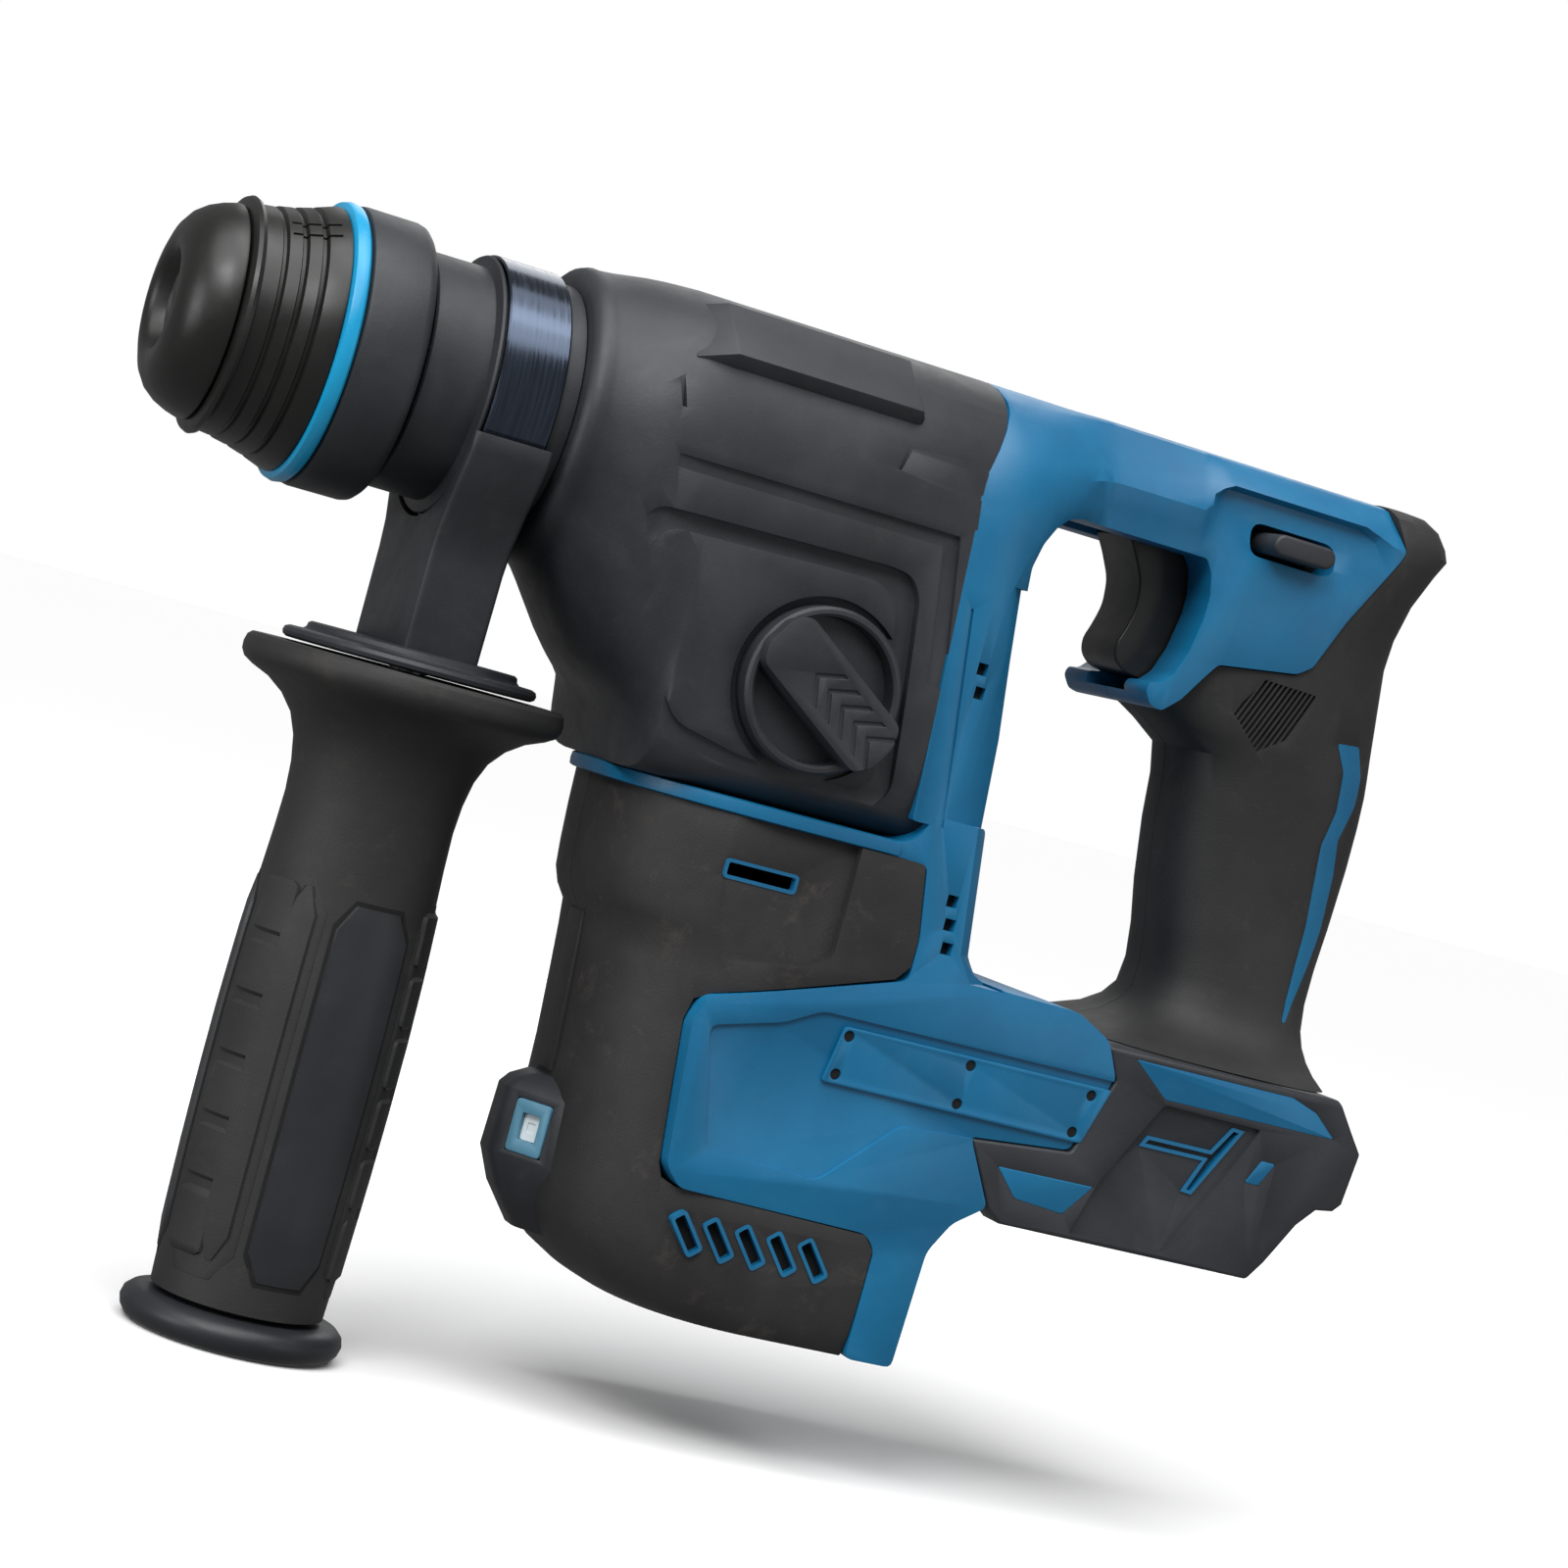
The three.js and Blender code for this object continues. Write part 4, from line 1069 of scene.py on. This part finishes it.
# ---------------------------------------------------------------- add-on
class HammerSizes(bpy.types.PropertyGroup):
    """Sizes a user would change."""
    screw_radius: bpy.props.FloatProperty(name="Screw head radius",
                                          description="Radius of each housing screw's head",
                                          default=0.0026, unit="LENGTH", precision=4)
    floor_width: bpy.props.FloatProperty(name="Floor width", description="Width of the square studio floor",
                                         default=30.0, unit="LENGTH")
    camera_distance: bpy.props.FloatProperty(name="Camera distance",
                                             description="From the camera to its aim",
                                             default=0.8229, unit="LENGTH", precision=4)
    camera_lens: bpy.props.FloatProperty(name="Camera lens", description="Focal length of the camera",
                                         default=90.0, unit="CAMERA")


class HammerColours(bpy.types.PropertyGroup):
    """Colours a user would change, as sRGB hex."""
    black_light: bpy.props.StringProperty(name="Nylon, light",
                                          description="Lighter tone of the black nylon",
                                          default="#2E3136")
    black_dark: bpy.props.StringProperty(name="Nylon, dark", description="Darker tone of the black nylon",
                                         default="#212327")
    rubber_light: bpy.props.StringProperty(name="Rubber, light", description="Lighter tone of the rubber",
                                           default="#2A2A2A")
    rubber_dark: bpy.props.StringProperty(name="Rubber, dark", description="Darker tone of the rubber",
                                          default="#1F1F1F")
    blue_light: bpy.props.StringProperty(name="Shell, light", description="Lighter tone of the blue nylon",
                                         default="#0C6C98")
    blue_dark: bpy.props.StringProperty(name="Shell, dark", description="Darker tone of the blue nylon",
                                        default="#09618C")
    ring: bpy.props.StringProperty(name="Ring", description="Colour of the accent ring", default="#1AA6D8")


class HAMMER_OT_finishes(bpy.types.Operator):
    """Make every finish"""
    bl_idname = "hammer.finishes"
    bl_label = "Finishes"

    def execute(self, context):
        make_finishes()
        return {"FINISHED"}


class HAMMER_OT_inner_parts(bpy.types.Operator):
    """Dress the working parts inside"""
    bl_idname = "hammer.inner_parts"
    bl_label = "Inner parts"

    def execute(self, context):
        dress_inner_nodes()
        return {"FINISHED"}


class HAMMER_OT_chuck(bpy.types.Operator):
    """Model the chuck and nose tube"""
    bl_idname = "hammer.chuck"
    bl_label = "Chuck"

    def execute(self, context):
        build_chuck()
        return {"FINISHED"}


class HAMMER_OT_clamp(bpy.types.Operator):
    """Model the side handle's clamp"""
    bl_idname = "hammer.clamp"
    bl_label = "Clamp"

    def execute(self, context):
        build_clamp()
        return {"FINISHED"}


class HAMMER_OT_side_grip(bpy.types.Operator):
    """Model the side grip and its pads"""
    bl_idname = "hammer.side_grip"
    bl_label = "Side grip"

    def execute(self, context):
        build_side_grip()
        return {"FINISHED"}


class HAMMER_OT_gear_housing(bpy.types.Operator):
    """Model the gear housing"""
    bl_idname = "hammer.gear_housing"
    bl_label = "Gear housing"

    def execute(self, context):
        build_gear_housing()
        return {"FINISHED"}


class HAMMER_OT_rim(bpy.types.Operator):
    """Model the coloured rim"""
    bl_idname = "hammer.rim"
    bl_label = "Rim"

    def execute(self, context):
        build_rim()
        return {"FINISHED"}


class HAMMER_OT_handle_shells(bpy.types.Operator):
    """Model the blue shells"""
    bl_idname = "hammer.handle_shells"
    bl_label = "Handle shells"

    def execute(self, context):
        build_handle_shells()
        return {"FINISHED"}


class HAMMER_OT_motor_covers(bpy.types.Operator):
    """Model the motor boot and its vents"""
    bl_idname = "hammer.motor_covers"
    bl_label = "Motor covers"

    def execute(self, context):
        build_motor_covers()
        return {"FINISHED"}


class HAMMER_OT_led_pod(bpy.types.Operator):
    """Model the lamp pod"""
    bl_idname = "hammer.led_pod"
    bl_label = "Lamp pod"

    def execute(self, context):
        build_led_pod()
        return {"FINISHED"}


class HAMMER_OT_rear_grip(bpy.types.Operator):
    """Model the rear grip"""
    bl_idname = "hammer.rear_grip"
    bl_label = "Rear grip"

    def execute(self, context):
        build_rear_grip()
        return {"FINISHED"}


class HAMMER_OT_foot(bpy.types.Operator):
    """Model the battery foot"""
    bl_idname = "hammer.foot"
    bl_label = "Foot"

    def execute(self, context):
        build_foot()
        return {"FINISHED"}


class HAMMER_OT_knob(bpy.types.Operator):
    """Model the mode knob"""
    bl_idname = "hammer.knob"
    bl_label = "Mode knob"

    def execute(self, context):
        build_knob()
        return {"FINISHED"}


class HAMMER_OT_trigger(bpy.types.Operator):
    """Model the trigger"""
    bl_idname = "hammer.trigger"
    bl_label = "Trigger"

    def execute(self, context):
        build_trigger()
        return {"FINISHED"}


class HAMMER_OT_lever(bpy.types.Operator):
    """Model the reverse button"""
    bl_idname = "hammer.lever"
    bl_label = "Reverse button"

    def execute(self, context):
        build_lever()
        return {"FINISHED"}


class HAMMER_OT_name_plate(bpy.types.Operator):
    """Model the blank name plate"""
    bl_idname = "hammer.name_plate"
    bl_label = "Name plate"

    def execute(self, context):
        build_name_plate()
        return {"FINISHED"}


class HAMMER_OT_screws(bpy.types.Operator):
    """Model the housing screws"""
    bl_idname = "hammer.screws"
    bl_label = "Screws"

    def execute(self, context):
        build_screws()
        return {"FINISHED"}


class HAMMER_OT_stage(bpy.types.Operator):
    """Build the floor and lights"""
    bl_idname = "hammer.stage"
    bl_label = "Stage"

    def execute(self, context):
        build_stage()
        return {"FINISHED"}


class HAMMER_OT_camera(bpy.types.Operator):
    """Place the camera"""
    bl_idname = "hammer.camera"
    bl_label = "Camera"

    def execute(self, context):
        build_camera()
        return {"FINISHED"}


OPERATORS = [
    HAMMER_OT_finishes,
    HAMMER_OT_inner_parts,
    HAMMER_OT_chuck,
    HAMMER_OT_clamp,
    HAMMER_OT_side_grip,
    HAMMER_OT_gear_housing,
    HAMMER_OT_rim,
    HAMMER_OT_handle_shells,
    HAMMER_OT_motor_covers,
    HAMMER_OT_led_pod,
    HAMMER_OT_rear_grip,
    HAMMER_OT_foot,
    HAMMER_OT_knob,
    HAMMER_OT_trigger,
    HAMMER_OT_lever,
    HAMMER_OT_name_plate,
    HAMMER_OT_screws,
    HAMMER_OT_stage,
    HAMMER_OT_camera,
]


class HAMMER_PT_panel(bpy.types.Panel):
    """Lists the building steps in the sidebar."""
    bl_label = "Rotary hammer"
    bl_space_type = "VIEW_3D"
    bl_region_type = "UI"
    bl_category = "Rotary hammer"

    def draw(self, context):
        for group in (context.scene.hammer_sizes, context.scene.hammer_colours):
            for name in group.__annotations__:
                self.layout.prop(group, name)
        for kind in OPERATORS:
            self.layout.operator(kind.bl_idname)


def register():
    bpy.utils.register_class(HammerSizes)
    bpy.utils.register_class(HammerColours)
    bpy.types.Scene.hammer_sizes = bpy.props.PointerProperty(type=HammerSizes)
    bpy.types.Scene.hammer_colours = bpy.props.PointerProperty(type=HammerColours)
    for kind in OPERATORS + [HAMMER_PT_panel]:
        bpy.utils.register_class(kind)


def unregister():
    for kind in reversed(OPERATORS + [HAMMER_PT_panel]):
        bpy.utils.unregister_class(kind)
    del bpy.types.Scene.hammer_colours
    del bpy.types.Scene.hammer_sizes
    bpy.utils.unregister_class(HammerColours)
    bpy.utils.unregister_class(HammerSizes)


def main():
    register()
    for kind in OPERATORS:
        namespace, name = kind.bl_idname.split(".")
        getattr(getattr(bpy.ops, namespace), name)()
    clear_selection()


if __name__ == "__main__":
    main()
